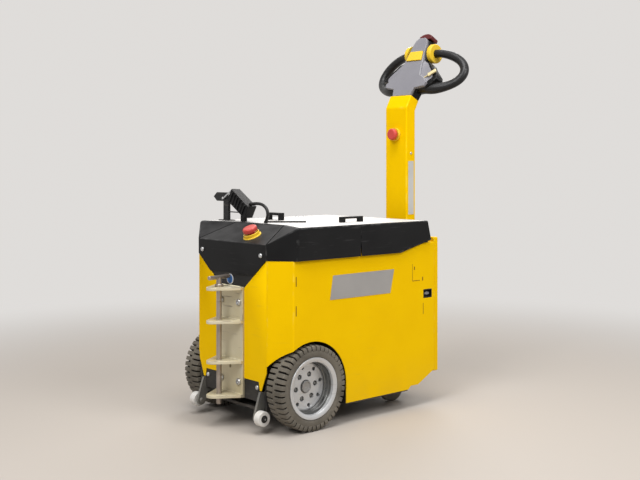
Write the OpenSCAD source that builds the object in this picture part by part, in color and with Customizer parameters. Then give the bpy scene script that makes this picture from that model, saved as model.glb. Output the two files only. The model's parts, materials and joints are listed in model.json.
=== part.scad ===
// Pedestrian electric tug: two driven wheels, a pin hitch in front, a mast and a tiller head behind.
// Millimetres. X runs across, -Y to the hitch, +Y to the operator and Z up from the floor.
// Lengths along Y are told from the drive axle, and the last lines set the part on its middle.

/* [Body] */
// Width over the yellow side panels
body_w = 468; // [450:2:476]
// Width of the flat front between its two slanting corners
body_nose_w = 340; // [330:2:344]
// Drive axle forward to the front face
body_front = 117; // [112:1:120]
// Drive axle forward to the fold between side and corner
body_fold = 70; // [66:1:80]
// Drive axle back to the rear edge of the sides
body_rear = 525; // [515:1:540]
// Floor to the lower edge of the sides
body_bottom = 60; // [56:1:70]
// Floor to the upper edge of the sheet, under the covers
body_top = 522; // [515:1:524]
// Sheet thickness of the body
sheet = 3; // [2:0.5:4]
// Radius of the wheel arch
arch_r = 134; // [131:1:138]

/* [Covers] */
// Width over the black covers
cover_w = 488; // [482:2:496]
// Width of the flat front of the cover
cover_nose_w = 338; // [330:2:350]
// Drive axle forward to the front of the cover
cover_front = 120; // [119:1:124]
// Drive axle forward to the fold at the corner of the cover
cover_fold = 62; // [52:1:66]
// Floor to the deck
cover_top = 592; // [585:1:605]
// Floor to the lower edge of the skirt
skirt_bottom = 496; // [488:1:505]
// Wall of the covers
cover_wall = 4; // [3:0.5:5]
// Drive axle back to the seam between fixed cover and lid
seam_y = 186; // [170:2:200]
// Gap in the seam
seam_gap = 1.5; // [1:0.5:3]
// Width of the black rim round the deck
rim_w = 8; // [6:1:12]
// Thickness of the deck plates
deck_t = 4; // [3:0.5:5]

/* [Hitch] */
// Width of the hitch's back plate
hitch_w = 122; // [112:2:122]
// Floor to the lower end of the back plate
hitch_bottom = 85; // [80:1:90]
// Floor to the top shelf's upper face
hitch_top = 411; // [400:1:420]
// Thickness of the back plate
hitch_plate_t = 8; // [6:1:10]
// Thickness of a shelf
shelf_t = 9; // [8:1:12]
// Drive axle forward to the tip of the shelves
shelf_tip = 204; // [200:1:215]
// Drive axle forward to the tow pin
pin_y = 163; // [160:1:168]
// Diameter of the tow pin
pin_d = 16; // [14:1:18]
// Radial room of the tow pin in its holes
pin_room = 0.5; // [0.3:0.1:1]

/* [Drive wheels] */
// Diameter of the drive wheels
wheel_d = 250; // [240:2:254]
// Width of the tyres
tyre_w = 72; // [66:1:74]
// Width over both drive wheels
track_outer = 488; // [486:1:494]
// Diameter of the rim under the tyre
rim_d = 181; // [172:1:190]
// Blocks in each row of the tread
tread_blocks = 44; // [30:1:50]
// Depth of the tread
tread_depth = 6; // [3:0.5:8]

/* [Rollers and castors] */
// Diameter of the front rollers
roller_d = 43; // [38:1:46]
// Width of the front rollers
roller_w = 24; // [20:1:26]
// Floor to the axle of the front rollers
roller_z = 45; // [42:1:50]
// Drive axle forward to the rollers
roller_y = 129; // [126:1:134]
// Diameter of the castor wheels
castor_d = 100; // [90:2:104]
// Width of the castor wheels
castor_w = 32; // [26:1:36]
// Swivel axis back from the drive axle
castor_y = 404; // [398:1:410]
// Middle of the machine out to a swivel axis
castor_x = 122; // [118:1:126]
// Trail of the castors
castor_trail = 34; // [30:1:38]

/* [Mast and tiller] */
// Width of the mast
mast_w = 100; // [90:2:104]
// Depth of the mast
mast_d = 44; // [40:1:50]
// Drive axle back to the front face of the mast
mast_y = 586; // [580:1:596]
// Floor to the lower end of the mast
mast_bottom = 250; // [240:5:280]
// Floor to the bend of the mast
mast_bend_z = 967; // [950:1:990]
// Lean of the tiller behind the vertical, degrees
tilt = 28; // [24:1:32]
// Length of the tiller's face
face_len = 237; // [232:1:240]
// Diameter of the handle tube
handle_d = 28; // [24:1:30]
// Diameter of the thumb wheels
thumb_d = 68; // [60:1:72]

/* [Emergency stops] */
// Diameter of the red head on the mast
estop_d = 40; // [36:1:42]
// Diameter of the red head on the fascia
front_estop_d = 44; // [40:1:46]
// Travel of the red heads
estop_travel = 4; // [3:0.5:5]

/* [Hidden] */
$fn = 64;
overrun = 2;
seat_gap = 0.3;
run_fit = 0.05;
wall_fit = 1;

// Places across and along that more than one piece uses
body_x = body_w / 2;
nose_x = body_nose_w / 2;
cover_x = cover_w / 2;
cover_nose_x = cover_nose_w / 2;
wheel_r = wheel_d / 2;
wheel_x = track_outer / 2 - tyre_w / 2;
axle_z = wheel_r;
fold_turn = atan2(body_front - body_fold, body_x - nose_x);
cover_turn = atan2(cover_front - cover_fold, cover_x - cover_nose_x);

// Openings in the yellow sheet
flap_bottom = 143;
flap_slot_w = 124;
flap_open_w = 272;
tooth_bottom = 118;
tooth_w = 8;
corner_rise = 66;
vee_top_w = 336;
vee_bottom_z = 409;
step_y = 403;
step_rise = 10;
step_run = 44;
heel_y = 518;
heel_rise = 46;
flange_w = 20;
top_flange_w = 26;

// Chassis
floor_t = 8;
floor_drop = 4;
side_plate_t = 8;
wheel_room = 18;
side_plate_x = track_outer / 2 - tyre_w - wheel_room - side_plate_t;
side_plate_top = 330;
front_plate_t = 8;
front_plate_x = 137;
front_plate_bottom = 84;
front_plate_top = 470;
bay_y = arch_r + sheet + floor_t;
tray_y = 308;
tray_z = 130;
tray_t = 8;
chassis_rear = body_rear - sheet;
rail_w = 12;
axle_hole_d = 60;

// Rear panel
panel_depth = 20;
panel_bottom = 102;
panel_top = 536;
panel_inset = 3;

// Covers
skirt_break_y = 358;
skirt_rear_z = 530;
rear_top_y = 485;
rear_bottom_y = 501;
fascia_fold_z = 542;
fascia_back_y = -10;
fascia_back_x = 117;
tongue_bottom = 448;
deck_ledge = 6;
cover_ledge = 12;
lid_relief = 4;
slope = atan2(cover_top - fascia_fold_z, cover_front + fascia_back_y);
cut_past_share = 0.25;
cut_wide_share = 1.5;
seam_r = 1.5;
seam_sides = 8;

// Screws and bolts
screw_head_d = 14;
screw_head_h = 5;
screw_dome_share = 0.7;
fascia_screw_x = 146;
fascia_screw_z = 510;
plate_bolt_x = 123;
plate_bolt_z = 125;
hitch_bolt_x = 43;
hitch_bolt_low = 130;
hitch_bolt_high = 365;
hitch_bolt_head_d = 21;
hitch_bolt_head_h = 6.5;
hitch_bolt_d = 12;
hitch_hex = 8;
socket_depth = 3;

// Hitch
shelf_drop_second = 98;
shelf_drop_third = 216;
shelf_levels = [hitch_top, hitch_top - shelf_drop_second, hitch_top - shelf_drop_third,
    hitch_bottom + shelf_t + wall_fit];
shelf_tip_r = 22;
shelf_corner = 6;
drain_d = 9;
drain_z = 171;
pin_bottom = 64;
bar_z = 439;
bar_d = 12;
bar_len = 84;
bar_turn = 9;
collar_d = 26;
collar_h = 7;

// Drive wheels
rim_r = rim_d / 2;
rim_half = 33;
lip_r = 75;
disc_out = 4;
disc_t = 8;
hub_bore_d = 36;
cap_h = 12;
cap_dome = 4;
wheel_bolts = 6;
wheel_bolt_pcd = 82;
wheel_bolt_d = 10;
wheel_bolt_head_d = 16;
rim_holes = 8;
rim_hole_pcd = 118;
rim_hole_d = 9;
groove_w = 5;
band_w = 8;
tyre_flank_shares = [[0, 0.9], [0.1, 0.97], [0.3, 1], [0.62, 1], [0.87, 0.87], [1, 0.6]];
hub_flange_d = 108;
hub_flange_t = 8;
hub_boss_d = 46;
shaft_d = 25;
shaft_in = 66;

// Drive units
gearbox_w = 50;
gearbox_l = 120;
gearbox_h = 150;
gearbox_up = 20;
motor_d = 110;
motor_gap = 8;
motor_rise = 90;

// Rollers
roller_x = 162;
roller_bore_d = 8;
roller_hub_d = 22;
roller_hub_recess = 1.5;
arm_x = 138;
arm_t = 8;
arm_r = 15;
arm_top = 115;
arm_back = 60;
roller_head_d = 13;
roller_head_h = 5;

// Castors
castor_plate_t = 4;
castor_plate_w = 96;
castor_plate_l = 84;
swivel_d = 62;
swivel_h = 14;
crown_h = 6;
kingpin_d = 16;
fork_t = 4;
fork_room = 2;
castor_axle_d = 10;
castor_hub_d = 44;

// Inside
battery_l = 156;
battery_h = 240;
battery_gap = 5;
terminal_d = 16;
terminal_h = 12;
terminal_shares = [0.25, 0.75];
charger_w = 300;
charger_l = 170;
charger_h = 110;
control_w = 220;
control_l = 130;
control_h = 60;
fin_t = 4;
fin_h = 14;
fin_count = 12;

// Lid hinge
hinge_y = 512;
hinge_rise = 14;
hinge_x = 120;
hinge_len = 60;
barrel_d = 12;
hinge_pin_d = 6;
knuckle_gap = 0.4;
leaf_t = 2;

// Deck gear
post_in = 53;
post_x = cover_x - post_in;
post_w = 26;
post_t = 10;
post_top = 682;
flange_len = 54;
flange_h = 28;
flange_tip = 18;
flange_t = 5;
flange_hole_d = 10;
flange_hole_out = 9;
flange_hole_drop = 18;
flange_hole_x = -post_x - post_w / 2 - flange_hole_out;
flange_hole_z = post_top - flange_hole_drop;
block_len = 103;
block_h = 43;
block_d = 34;
block_tilt = 31;
block_in = 79;
block_x = post_x - block_in;
block_z = 649;
block_ribs = 6;
block_arm_z = 619;
block_arm_reach = 15;
block_foot_w = 22;
block_foot_h = 24;
lever_out = 4;
lever_x = -post_x - lever_out;
lever_z = 660;
lever_len = 60;
lever_w = 8;
lever_t = 4;
lead_d = 10;
lead_sides = 10;
channel_in = 109;
channel_len = 63;
channel_x0 = -cover_x + channel_in;
channel_x1 = channel_x0 + channel_len;
channel_y = 134;
channel_h = 24;
channel_d = 24;
channel_t = 3;
channel_top_t = 8;
lead_offsets = [[28, 5, -9], [36, 5, -5], [44, 5, -2], [53, 5, 0], [62, 5, 1], [73, 5, 1.8], [83, 5, 2],
    [93, 5, 1.5], [103, 5, 0], [112, 5, -3], [120, 5, -7.5], [126, 5, -13], [130.5, 5, -20], [132.3, 5, -29],
    [131, 5, -37], [128, 5, -44], [124.8, 5, -50], [123.3, 5, -56], [123, 5, -60.4]];
lead_route = [for (p = lead_offsets) [p[0] - block_x, p[1], p[2] + block_z]];
lead_end = lead_route[len(lead_route) - 1];
rod_d = 5;
rod_a = [-15, 26];
rod_b = [69, 130];
eye_d = 14;
eye_hole_d = 7;

// Deck handle and groove
handle_in = 107;
handle_x = cover_x - handle_in;
handle_y = 245;
handle_len = 92;
handle_w = 16;
handle_h = 18;
handle_bar = 7;
groove_a = [-180, 437];
groove_b = [-80, 468];
deck_groove_w = 8;
deck_screw_in = 44;
deck_screw_x = cover_x - deck_screw_in;
deck_screw_ys = [307, 341];
deck_screw_d = 12;
deck_screw_h = 2;

// Plates and badges
plate_t = 1;
plate_corners = [[81, 445], [337, 446], [320, 373], [69, 374]];
disc_x = -11;
disc_d = 32;
disc_rim = 3;
disc_z = 429;
strip_z0 = 600;
strip_z1 = 783;
strip_w = 26;

// Side latch
latch_y0 = 472;
latch_y1 = 512;
latch_z0 = 343;
latch_z1 = 371;
latch_depth = 8;
latch_pin_d = 5;
latch_bar_w = 7;
latch_bar_len = 20;

// Mast
mast_wall = 4;
bracket_t = 6;
bracket_top = 520;
bracket_bottom = 270;
bracket_flange = 24;
mast_screw_z = 810;
mast_screw_d = 9;
mast_screw_h = 2.5;
mast_run = 50;
head_y = mast_y + mast_run * sin(tilt);
head_z = mast_bend_z + mast_run * cos(tilt);

// Emergency stops
front_stop_x = 55;
front_stop_y = -81;
mast_stop_z = 875;
stop_ring_d = 49;
stop_disc_d = 56;
stop_disc_t = 2;
stop_ring_h = 12;
stop_neck_d = 22;
stop_out = 30;
stop_dome = 9;
stop_rim = 4;
stop_dome_share = 0.7;
mast_stop_out = 26;
mast_ring_d = 44;
mast_ring_h = 8;

// Tiller head: x across, then depth behind the face, then distance up the face
face_t = 12;
face_rise_shares = [0, 0.118, 0.15, 0.21, 0.287, 0.346, 0.45, 0.625, 0.8, 0.886, 0.962, 1];
face_half_widths = [41, 48, 90, 96, 79, 55, 48, 41, 34, 31, 25, 14];
shell_d = 50;
shell_rise_shares = [0, 0.118, 0.14, 0.2, 0.3, 0.363, 0.494, 0.565, 0.612, 0.8];
shell_half_widths = [41, 46, 90, 108, 126, 121, 88, 74, 45, 36];
shoulder_drop = 7;
shoulder_s = face_len - shoulder_drop;
shoulder_half_w = 29;
ring_h = 33;
ring_x = 77;
ring_reach_x = 115;
ring_rise_share = 0.27;
ring_middle_share = 0.485;
ring_reach_share = 0.295;
ring_s = face_len * ring_middle_share;
ring_reach_s = face_len * ring_reach_share;
ring_top_s = ring_s + ring_reach_s;
ring_low_s = ring_s - ring_reach_s;
ring_in_x = 20;
ring_stub_x = 70;
tube_sides = 16;
arc_steps = 14;
thumb_in = 46;
thumb_w = 16;
thumb_edge = 4;
button_rise_shares = [0.595, 0.751];
button_half_widths = [35, 28.5];
button_out = 4;
button_travel = 3;
button_well = 8;
neck_w = 34;
neck_d = 24;
belly_top_r = 44;
belly_len = 25;
belly_travel = 8;
belly_grip = 9;
belly_skirt_s = shoulder_s + belly_travel + seat_gap;
belly_h0 = face_t + 2 * seat_gap;
neck_top_s = belly_skirt_s + belly_grip;
rocker_x = 88;
rocker_h = 7;
rocker_rise_share = 0.338;
rocker_s = face_len * rocker_rise_share;
rocker_turn = 31;
rocker_len = 34;
rocker_w = 13;
rocker_t = 6;
rocker_pin_d = 4;
rocker_pin_len = 34;

// The part stands on the middle of its length, from the shelf tip to the belly button or the thumb wheels
rear_reach = head_y + max((face_len + belly_len) * sin(tilt) + shell_d * cos(tilt),
    ring_top_s * sin(tilt) + ring_h * cos(tilt) + thumb_d / 2);
mid_y = (rear_reach - shelf_tip) / 2;

// Shared shapes

// Half outline of a body in plan with slanting front corners, drawn in by an inset
function plan_half(half, nose, front, fold, rear, inset, turn) = [
    [nose - inset * tan(turn / 2), -front + inset],
    [half - inset, -fold + inset * tan((90 - turn) / 2)],
    [half - inset, rear]];

// The other half of an outline, in reverse order
function mirrored(points) = [for (i = [len(points) - 1 : -1 : 0]) [-points[i][0], points[i][1]]];

// Both halves of an outline given from its first axis to its last
function both_halves(points) = concat(points, mirrored(points));

// Where the tangent from a point meets a circle, on the side that the sign gives
function tangent_point(centre, r, from, side) =
    let (away = from - centre, turn = atan2(away[1], away[0]) + side * acos(r / norm(away)))
    centre + r * [cos(turn), sin(turn)];

function unit(v) = v / norm(v);

// Points round a path, one ring for each of its points
function tube_points(path, r, sides, up) = [for (i = [0 : len(path) - 1])
    let (ahead = path[min(i + 1, len(path) - 1)], behind = path[max(i - 1, 0)],
        way = unit(ahead - behind), across = unit(cross(way, up)), over = cross(across, way))
    for (k = [0 : sides - 1]) path[i] + r * (cos(360 * k / sides) * across + sin(360 * k / sides) * over)];

// A tube along a path of points, closed at both ends
module tube_along(path, r, sides, up) {
    rings = len(path);
    walls = [for (i = [0 : rings - 2], k = [0 : sides - 1])
        [i * sides + k, i * sides + (k + 1) % sides, (i + 1) * sides + (k + 1) % sides, (i + 1) * sides + k]];
    first_cap = [[for (k = [sides - 1 : -1 : 0]) k]];
    last_cap = [[for (k = [0 : sides - 1]) (rings - 1) * sides + k]];
    polyhedron(tube_points(path, r, sides, up), concat(walls, first_cap, last_cap));
}

module both_sides() {
    children();
    mirror([1, 0, 0]) children();
}

// A box from its lowest and highest corners
module box(low, high) {
    translate(low) cube(high - low);
}

// An outline in Y and Z, drawn out along X between two places
module side_profile(points, x0, x1) {
    translate([x0, 0, 0]) rotate([90, 0, 90]) linear_extrude(x1 - x0) polygon(points);
}

// An outline in X and Z, drawn out along Y between two places
module front_profile(points, y0, y1) {
    translate([0, y1, 0]) rotate([90, 0, 0]) linear_extrude(y1 - y0) polygon(points);
}

module rod_x(x0, x1, d) {
    translate([x0, 0, 0]) rotate([0, 90, 0]) cylinder(h = x1 - x0, d = d);
}

// A round head with a rounded edge, standing on z = 0
module domed(d, h, edge) {
    rotate_extrude() polygon(concat([[0, 0], [d / 2, 0]],
        [for (a = [0 : 15 : 90]) [d / 2 - edge + edge * cos(a), h - edge + edge * sin(a)]], [[0, h]]));
}

// A button-head screw pointing along +Z, with its socket
module button_head(d, h, hex) {
    difference() {
        domed(d, h, h * screw_dome_share);
        translate([0, 0, h - socket_depth]) cylinder(h = socket_depth + overrun, d = hex / cos(30), $fn = 6);
    }
}

module facing_front(place) {
    translate(place) rotate([90, 0, 0]) children();
}

module facing_side(x, y, z) {
    translate([x, y, z]) rotate([0, 90, 0]) children();
}

// Body

module body_solid(inset, z0, z1) {
    points = plan_half(body_x, nose_x, body_front, body_fold, body_rear + (inset > 0 ? overrun : 0), inset,
        fold_turn);
    translate([0, 0, z0]) linear_extrude(z1 - z0) polygon(both_halves(points));
}

// The sheet that is missing in front: the V, the slot behind the hitch and the lower opening
module front_opening() {
    front_profile(both_halves([[flap_open_w / 2, body_bottom - overrun], [flap_open_w / 2, tooth_bottom],
        [flap_open_w / 2 - tooth_w / 2, flap_bottom], [flap_slot_w / 2, flap_bottom],
        [flap_slot_w / 2, vee_bottom_z], [vee_top_w / 2, skirt_bottom],
        [vee_top_w / 2, body_top + overrun]]),
        -body_front - overrun, -body_front + sheet + overrun);
    both_sides() front_profile([[flap_open_w / 2 - overrun, body_bottom - overrun],
        [flap_open_w / 2 - overrun, tooth_bottom], [flap_open_w / 2 + tooth_w, tooth_bottom],
        [nose_x + overrun, tooth_bottom + corner_rise], [nose_x + overrun, body_bottom - overrun]],
        -body_front - overrun, -body_front + sheet + overrun);
}

module wheel_arch() {
    translate([nose_x - sheet, 0, 0]) {
        translate([0, 0, axle_z]) rod_x(0, body_x, 2 * arch_r);
        box([0, -arch_r, 0], [body_x, arch_r, axle_z]);
    }
}

module heel_cut() {
    side_profile([[step_y, body_bottom - overrun], [step_y, body_bottom],
        [step_y + step_run / 4, body_bottom + step_rise], [step_y + step_run, body_bottom + step_rise],
        [heel_y, body_bottom + heel_rise], [body_rear + overrun, body_bottom + heel_rise],
        [body_rear + overrun, body_bottom - overrun]], -body_w, body_w);
}

module body_shell() {
    color([0.94, 0.77, 0]) difference() {
        union() {
            difference() {
                body_solid(0, body_bottom, body_top);
                body_solid(sheet, body_bottom - overrun, body_top + overrun);
            }
            both_sides() box([body_x - flange_w, body_rear - sheet, body_bottom + heel_rise],
                [body_x - sheet / 2, body_rear, body_top]);
            box([-body_x + sheet / 2, body_rear - top_flange_w, body_top - sheet],
                [body_x - sheet / 2, body_rear, body_top]);
        }
        front_opening();
        both_sides() wheel_arch();
        heel_cut();
        box([body_x - sheet - overrun, latch_y0, latch_z0], [body_x + overrun, latch_y1, latch_z1]);
        // the slanting corners end below the skirt of the cover
        box([-body_w, -body_front - overrun, skirt_bottom - seat_gap], [body_w, -cover_fold,
            body_top + overrun]);
    }
}

module rear_panel() {
    half = body_x - panel_inset;
    color([0.94, 0.77, 0]) difference() {
        box([-half, body_rear, panel_bottom], [half, body_rear + panel_depth, panel_top]);
        box([-half + flange_w, body_rear - overrun, panel_bottom + flange_w],
            [half - flange_w, body_rear + panel_depth - sheet, panel_top - flange_w]);
    }
}

// Chassis

module side_plate() {
    difference() {
        side_profile([[-body_front + sheet + front_plate_t, body_bottom], [-body_front + sheet + front_plate_t,
            side_plate_top - arm_back], [-body_fold, side_plate_top], [tray_y, side_plate_top],
            [tray_y, body_bottom]], side_plate_x, side_plate_x + side_plate_t);
        translate([0, 0, axle_z]) rod_x(side_plate_x - overrun, side_plate_x + side_plate_t + overrun,
            axle_hole_d);
    }
}

// Sheet over a drive wheel, from the side plate to the body's side
module wheel_housing() {
    inner = side_plate_x + side_plate_t;
    intersection() {
        difference() {
            union() {
                translate([0, 0, axle_z]) rod_x(inner - overrun / 2, body_x, 2 * (arch_r + sheet));
                box([inner - overrun / 2, -arch_r - sheet, body_bottom], [body_x, arch_r + sheet, axle_z]);
            }
            translate([0, 0, axle_z]) rod_x(inner - overrun, body_x + overrun, 2 * arch_r);
            box([inner - overrun, -arch_r, body_bottom - overrun], [body_x + overrun, arch_r, axle_z]);
        }
        body_solid(sheet, body_bottom, body_top);
    }
}

module chassis() {
    floor_z = body_bottom - floor_drop;
    floor_x = body_x - sheet;
    color([0.16, 0.16, 0.17]) difference() {
        union() {
            box([-floor_x, arch_r, floor_z], [floor_x, tray_y, floor_z + floor_t]);
            both_sides() wheel_housing();
            box([-side_plate_x - side_plate_t, -body_front + sheet + front_plate_t, floor_z],
                [side_plate_x + side_plate_t, bay_y, floor_z + floor_t]);
            both_sides() side_plate();
            box([-floor_x, tray_y, floor_z], [floor_x, tray_y + tray_t, tray_z + tray_t]);
            box([-floor_x, tray_y, tray_z], [floor_x, chassis_rear, tray_z + tray_t]);
            both_sides() box([floor_x - rail_w, tray_y, floor_z], [floor_x, step_y, floor_z + floor_t]);
            both_sides() box([floor_x - rail_w, tray_y, floor_z], [floor_x - rail_w / 2, step_y, tray_z + tray_t]);
            box([-floor_x, chassis_rear - tray_t, tray_z], [floor_x, chassis_rear, body_top - sheet]);
        }
        box([-charger_w / 2, chassis_rear - tray_t - overrun, tray_z + tray_t + charger_h],
            [charger_w / 2, chassis_rear + overrun, bracket_bottom]);
    }
}

module front_plate() {
    y0 = -body_front + sheet;
    color([0.12, 0.12, 0.13]) box([-front_plate_x, y0, front_plate_bottom],
        [front_plate_x, y0 + front_plate_t, front_plate_top]);
}

// Covers

module cover_plan(inset, rear) {
    polygon(both_halves(plan_half(cover_x, cover_nose_x, cover_front, cover_fold, rear, inset, cover_turn)));
}

// What is missing above the slanted fascia and its two cheeks
module fascia_cut(drop) {
    crease = [fascia_back_x - cover_nose_x, cover_front + fascia_back_y, cover_top - fascia_fold_z];
    cheek = [cover_x - fascia_back_x, -cover_fold - fascia_back_y, 0];
    low = [cover_nose_x, -cover_front, fascia_fold_z - drop] - crease * cut_past_share;
    high = [fascia_back_x, fascia_back_y, cover_top - drop] + crease * cut_past_share;
    low_out = low + cheek * cut_wide_share;
    high_out = high + cheek * cut_wide_share;
    rise = [0, 0, cover_top - fascia_fold_z];
    flip = [-1, 1, 1];
    function left(p) = [for (i = [0 : 2]) p[i] * flip[i]];
    points = [left(low_out), left(low), low, low_out, low_out + rise, left(low_out) + rise,
        left(high_out), left(high), high, high_out, high_out + rise, left(high_out) + rise];
    polyhedron(points, [[3, 2, 1, 0], [5, 4, 3, 0], [6, 7, 8, 9], [6, 9, 10, 11],
        [7, 6, 0, 1], [8, 7, 1, 2], [9, 8, 2, 3], [10, 9, 3, 4], [11, 10, 4, 5], [6, 11, 5, 0]]);
}

// The whole cover as a solid, drawn in by an inset and closed above by its own thickness
module cover_solid(inset, roof) {
    low = inset > 0 ? overrun : 0;
    difference() {
        intersection() {
            translate([0, 0, skirt_bottom - low]) linear_extrude(cover_top - roof - skirt_bottom + low)
                cover_plan(inset, rear_bottom_y + overrun);
            side_profile([[-cover_front - overrun, skirt_bottom - low], [skirt_break_y - inset, skirt_bottom - low],
                [rear_bottom_y - inset, skirt_rear_z - low], [rear_top_y - inset, cover_top - roof],
                [-cover_front - overrun, cover_top - roof]], -cover_x - overrun, cover_x + overrun);
        }
        fascia_cut(inset > 0 ? roof / cos(slope) : 0);
    }
}

// Outline of the deck, drawn in from the edge of the cover
module deck_plan(inset, front, rear) {
    turn = atan2(fascia_back_y + cover_fold, cover_x - fascia_back_x);
    intersection() {
        polygon(both_halves([[fascia_back_x + inset * tan(turn / 2), fascia_back_y + inset],
            [cover_x - inset, -cover_fold + inset * tan((90 + turn) / 2)],
            [cover_x - inset, rear_top_y - inset]]));
        translate([-cover_x, front]) square([cover_w, rear - front]);
    }
}

module cover_shell(ledge_gap) {
    roof = 2 * deck_t;
    difference() {
        union() {
            difference() {
                cover_solid(0, 0);
                cover_solid(cover_wall, roof);
            }
            // ledge that rests on the sheet
            difference() {
                translate([0, 0, body_top + ledge_gap]) linear_extrude(cover_wall)
                    cover_plan(cover_wall / 2, rear_top_y);
                translate([0, 0, body_top - overrun]) linear_extrude(cover_wall + 3 * overrun)
                    cover_plan(cover_wall + cover_ledge, rear_top_y - cover_ledge);
            }
        }
        translate([0, 0, cover_top - deck_t]) linear_extrude(deck_t + overrun)
            deck_plan(rim_w, -cover_front, rear_top_y);
        translate([0, 0, cover_top - roof - overrun]) linear_extrude(roof + 2 * overrun)
            deck_plan(rim_w + deck_ledge, -cover_front, rear_top_y);
    }
}

// Narrow seams where the fascia meets its cheeks
module fascia_seams() {
    low = [cover_nose_x, -cover_front, fascia_fold_z];
    high = [fascia_back_x, fascia_back_y, cover_top];
    both_sides() tube_along([low, high], seam_r, seam_sides, [0, 1, 0]);
}

module front_cover() {
    tongue_x = vee_top_w / 2 - (skirt_bottom - tongue_bottom)
        * (vee_top_w - flap_slot_w) / 2 / (skirt_bottom - vee_bottom_z);
    color([0.17, 0.17, 0.18]) {
        difference() {
            intersection() {
                cover_shell(0);
                box([-cover_x - overrun, -cover_front - overrun, skirt_bottom - overrun],
                    [cover_x + overrun, seam_y, cover_top + overrun]);
            }
            fascia_seams();
        }
        front_profile(both_halves([[tongue_x - wall_fit, tongue_bottom], [vee_top_w / 2 - wall_fit, skirt_bottom],
            [vee_top_w / 2 - wall_fit, skirt_bottom + overrun]]), -cover_front, -cover_front + cover_wall);
    }
}

module front_deck() {
    color([0.78, 0.78, 0.76]) difference() {
        translate([0, 0, cover_top - deck_t]) linear_extrude(deck_t)
            deck_plan(rim_w + seat_gap, -cover_front, seam_y);
        translate([lead_end[0], lead_end[1], cover_top - deck_t - overrun])
            cylinder(h = deck_t + 2 * overrun, d = lead_d + 2 * seat_gap);
    }
}

module rear_cover() {
    front = seam_y + seam_gap;
    hinge_z = body_top + hinge_rise;
    color([0.17, 0.17, 0.18]) intersection() {
        cover_shell(seat_gap);
        // the front edge leans back below the hinge, so that it clears the fixed cover as the lid lifts
        side_profile([[front + lid_relief, skirt_bottom - overrun], [rear_bottom_y + overrun,
            skirt_bottom - overrun], [rear_bottom_y + overrun, cover_top + overrun],
            [front, cover_top + overrun], [front, hinge_z]], -cover_x - overrun, cover_x + overrun);
    }
}

// A shallow groove with round ends
module deck_groove() {
    run = groove_b - groove_a;
    translate([groove_a[0], groove_a[1], cover_top - deck_t / 2]) rotate([0, 0, atan2(run[1], run[0])]) {
        translate([0, -deck_groove_w / 2, 0]) cube([norm(run), deck_groove_w, deck_t]);
        cylinder(h = deck_t, d = deck_groove_w);
        translate([norm(run), 0, 0]) cylinder(h = deck_t, d = deck_groove_w);
    }
}

module rear_deck() {
    color([0.78, 0.78, 0.76]) difference() {
        translate([0, 0, cover_top - deck_t]) linear_extrude(deck_t)
            deck_plan(rim_w + seat_gap, seam_y + seam_gap, rear_top_y);
        deck_groove();
    }
}

module deck_handle() {
    color([0.1, 0.1, 0.1]) translate([handle_x - handle_w / 2, handle_y - handle_len / 2, cover_top])
        difference() {
            cube([handle_w, handle_len, handle_h]);
            translate([-overrun, handle_w, -overrun])
                cube([handle_w + 2 * overrun, handle_len - 2 * handle_w, handle_h - handle_bar + overrun]);
        }
}

module deck_screws() {
    color([0.5, 0.5, 0.5]) for (y = deck_screw_ys) translate([-deck_screw_x, y, cover_top])
        domed(deck_screw_d, deck_screw_h, deck_screw_h * screw_dome_share);
}

// Lid hinge

module knuckles(first, count, step) {
    for (i = [first : 2 : count - 1])
        translate([hinge_x - hinge_len / 2 + i * step, hinge_y, body_top + hinge_rise])
            rod_x(0, step - knuckle_gap, barrel_d);
}

module hinge_fixed() {
    step = hinge_len / 3;
    color([0.35, 0.35, 0.36]) both_sides() {
        difference() {
            union() {
                knuckles(0, 3, step);
                for (i = [0, 2]) box([hinge_x - hinge_len / 2 + i * step, hinge_y - leaf_t, body_top],
                    [hinge_x - hinge_len / 2 + (i + 1) * step - knuckle_gap, hinge_y + leaf_t,
                        body_top + hinge_rise]);
            }
            translate([0, hinge_y, body_top + hinge_rise]) rod_x(hinge_x - hinge_len, hinge_x + hinge_len,
                hinge_pin_d);
        }
        translate([0, hinge_y, body_top + hinge_rise]) rod_x(hinge_x - hinge_len / 2 - leaf_t,
            hinge_x + hinge_len / 2 + leaf_t, hinge_pin_d);
    }
}

module hinge_moving() {
    step = hinge_len / 3;
    leaf_top = body_top + hinge_rise + barrel_d;
    color([0.35, 0.35, 0.36]) both_sides() difference() {
        union() {
            knuckles(1, 2, step);
            box([hinge_x - hinge_len / 2 + step, hinge_y - barrel_d / 2, body_top + hinge_rise],
                [hinge_x - hinge_len / 2 + 2 * step - knuckle_gap, hinge_y - barrel_d / 2 + leaf_t, leaf_top]);
            box([hinge_x - hinge_len / 2 + step, rear_bottom_y - (leaf_top - leaf_t - skirt_rear_z)
                * (rear_bottom_y - rear_top_y) / (cover_top - skirt_rear_z), leaf_top - leaf_t],
                [hinge_x - hinge_len / 2 + 2 * step - knuckle_gap, hinge_y - barrel_d / 2 + leaf_t, leaf_top]);
        }
        translate([0, hinge_y, body_top + hinge_rise]) rod_x(hinge_x - hinge_len, hinge_x + hinge_len,
            hinge_pin_d + 2 * run_fit);
    }
}

// Screws, plates and the side latch

module screws() {
    color([0.75, 0.75, 0.76]) both_sides() {
        facing_front([fascia_screw_x, -cover_front, fascia_screw_z]) domed(screw_head_d, screw_head_h,
            screw_head_h * screw_dome_share);
        facing_front([plate_bolt_x, -body_front + sheet, plate_bolt_z]) domed(screw_head_d, screw_head_h,
            screw_head_h * screw_dome_share);
        facing_side(mast_w / 2, mast_y + mast_d / 2, mast_screw_z) domed(mast_screw_d, mast_screw_h,
            mast_screw_h * screw_dome_share);
        for (z = [bracket_bottom + 2 * bracket_flange, bracket_top - 2 * bracket_flange])
            facing_side(mast_w / 2 + bracket_t, mast_y + mast_d / 2, z) domed(screw_head_d, screw_head_h,
                screw_head_h * screw_dome_share);
    }
}

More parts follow.
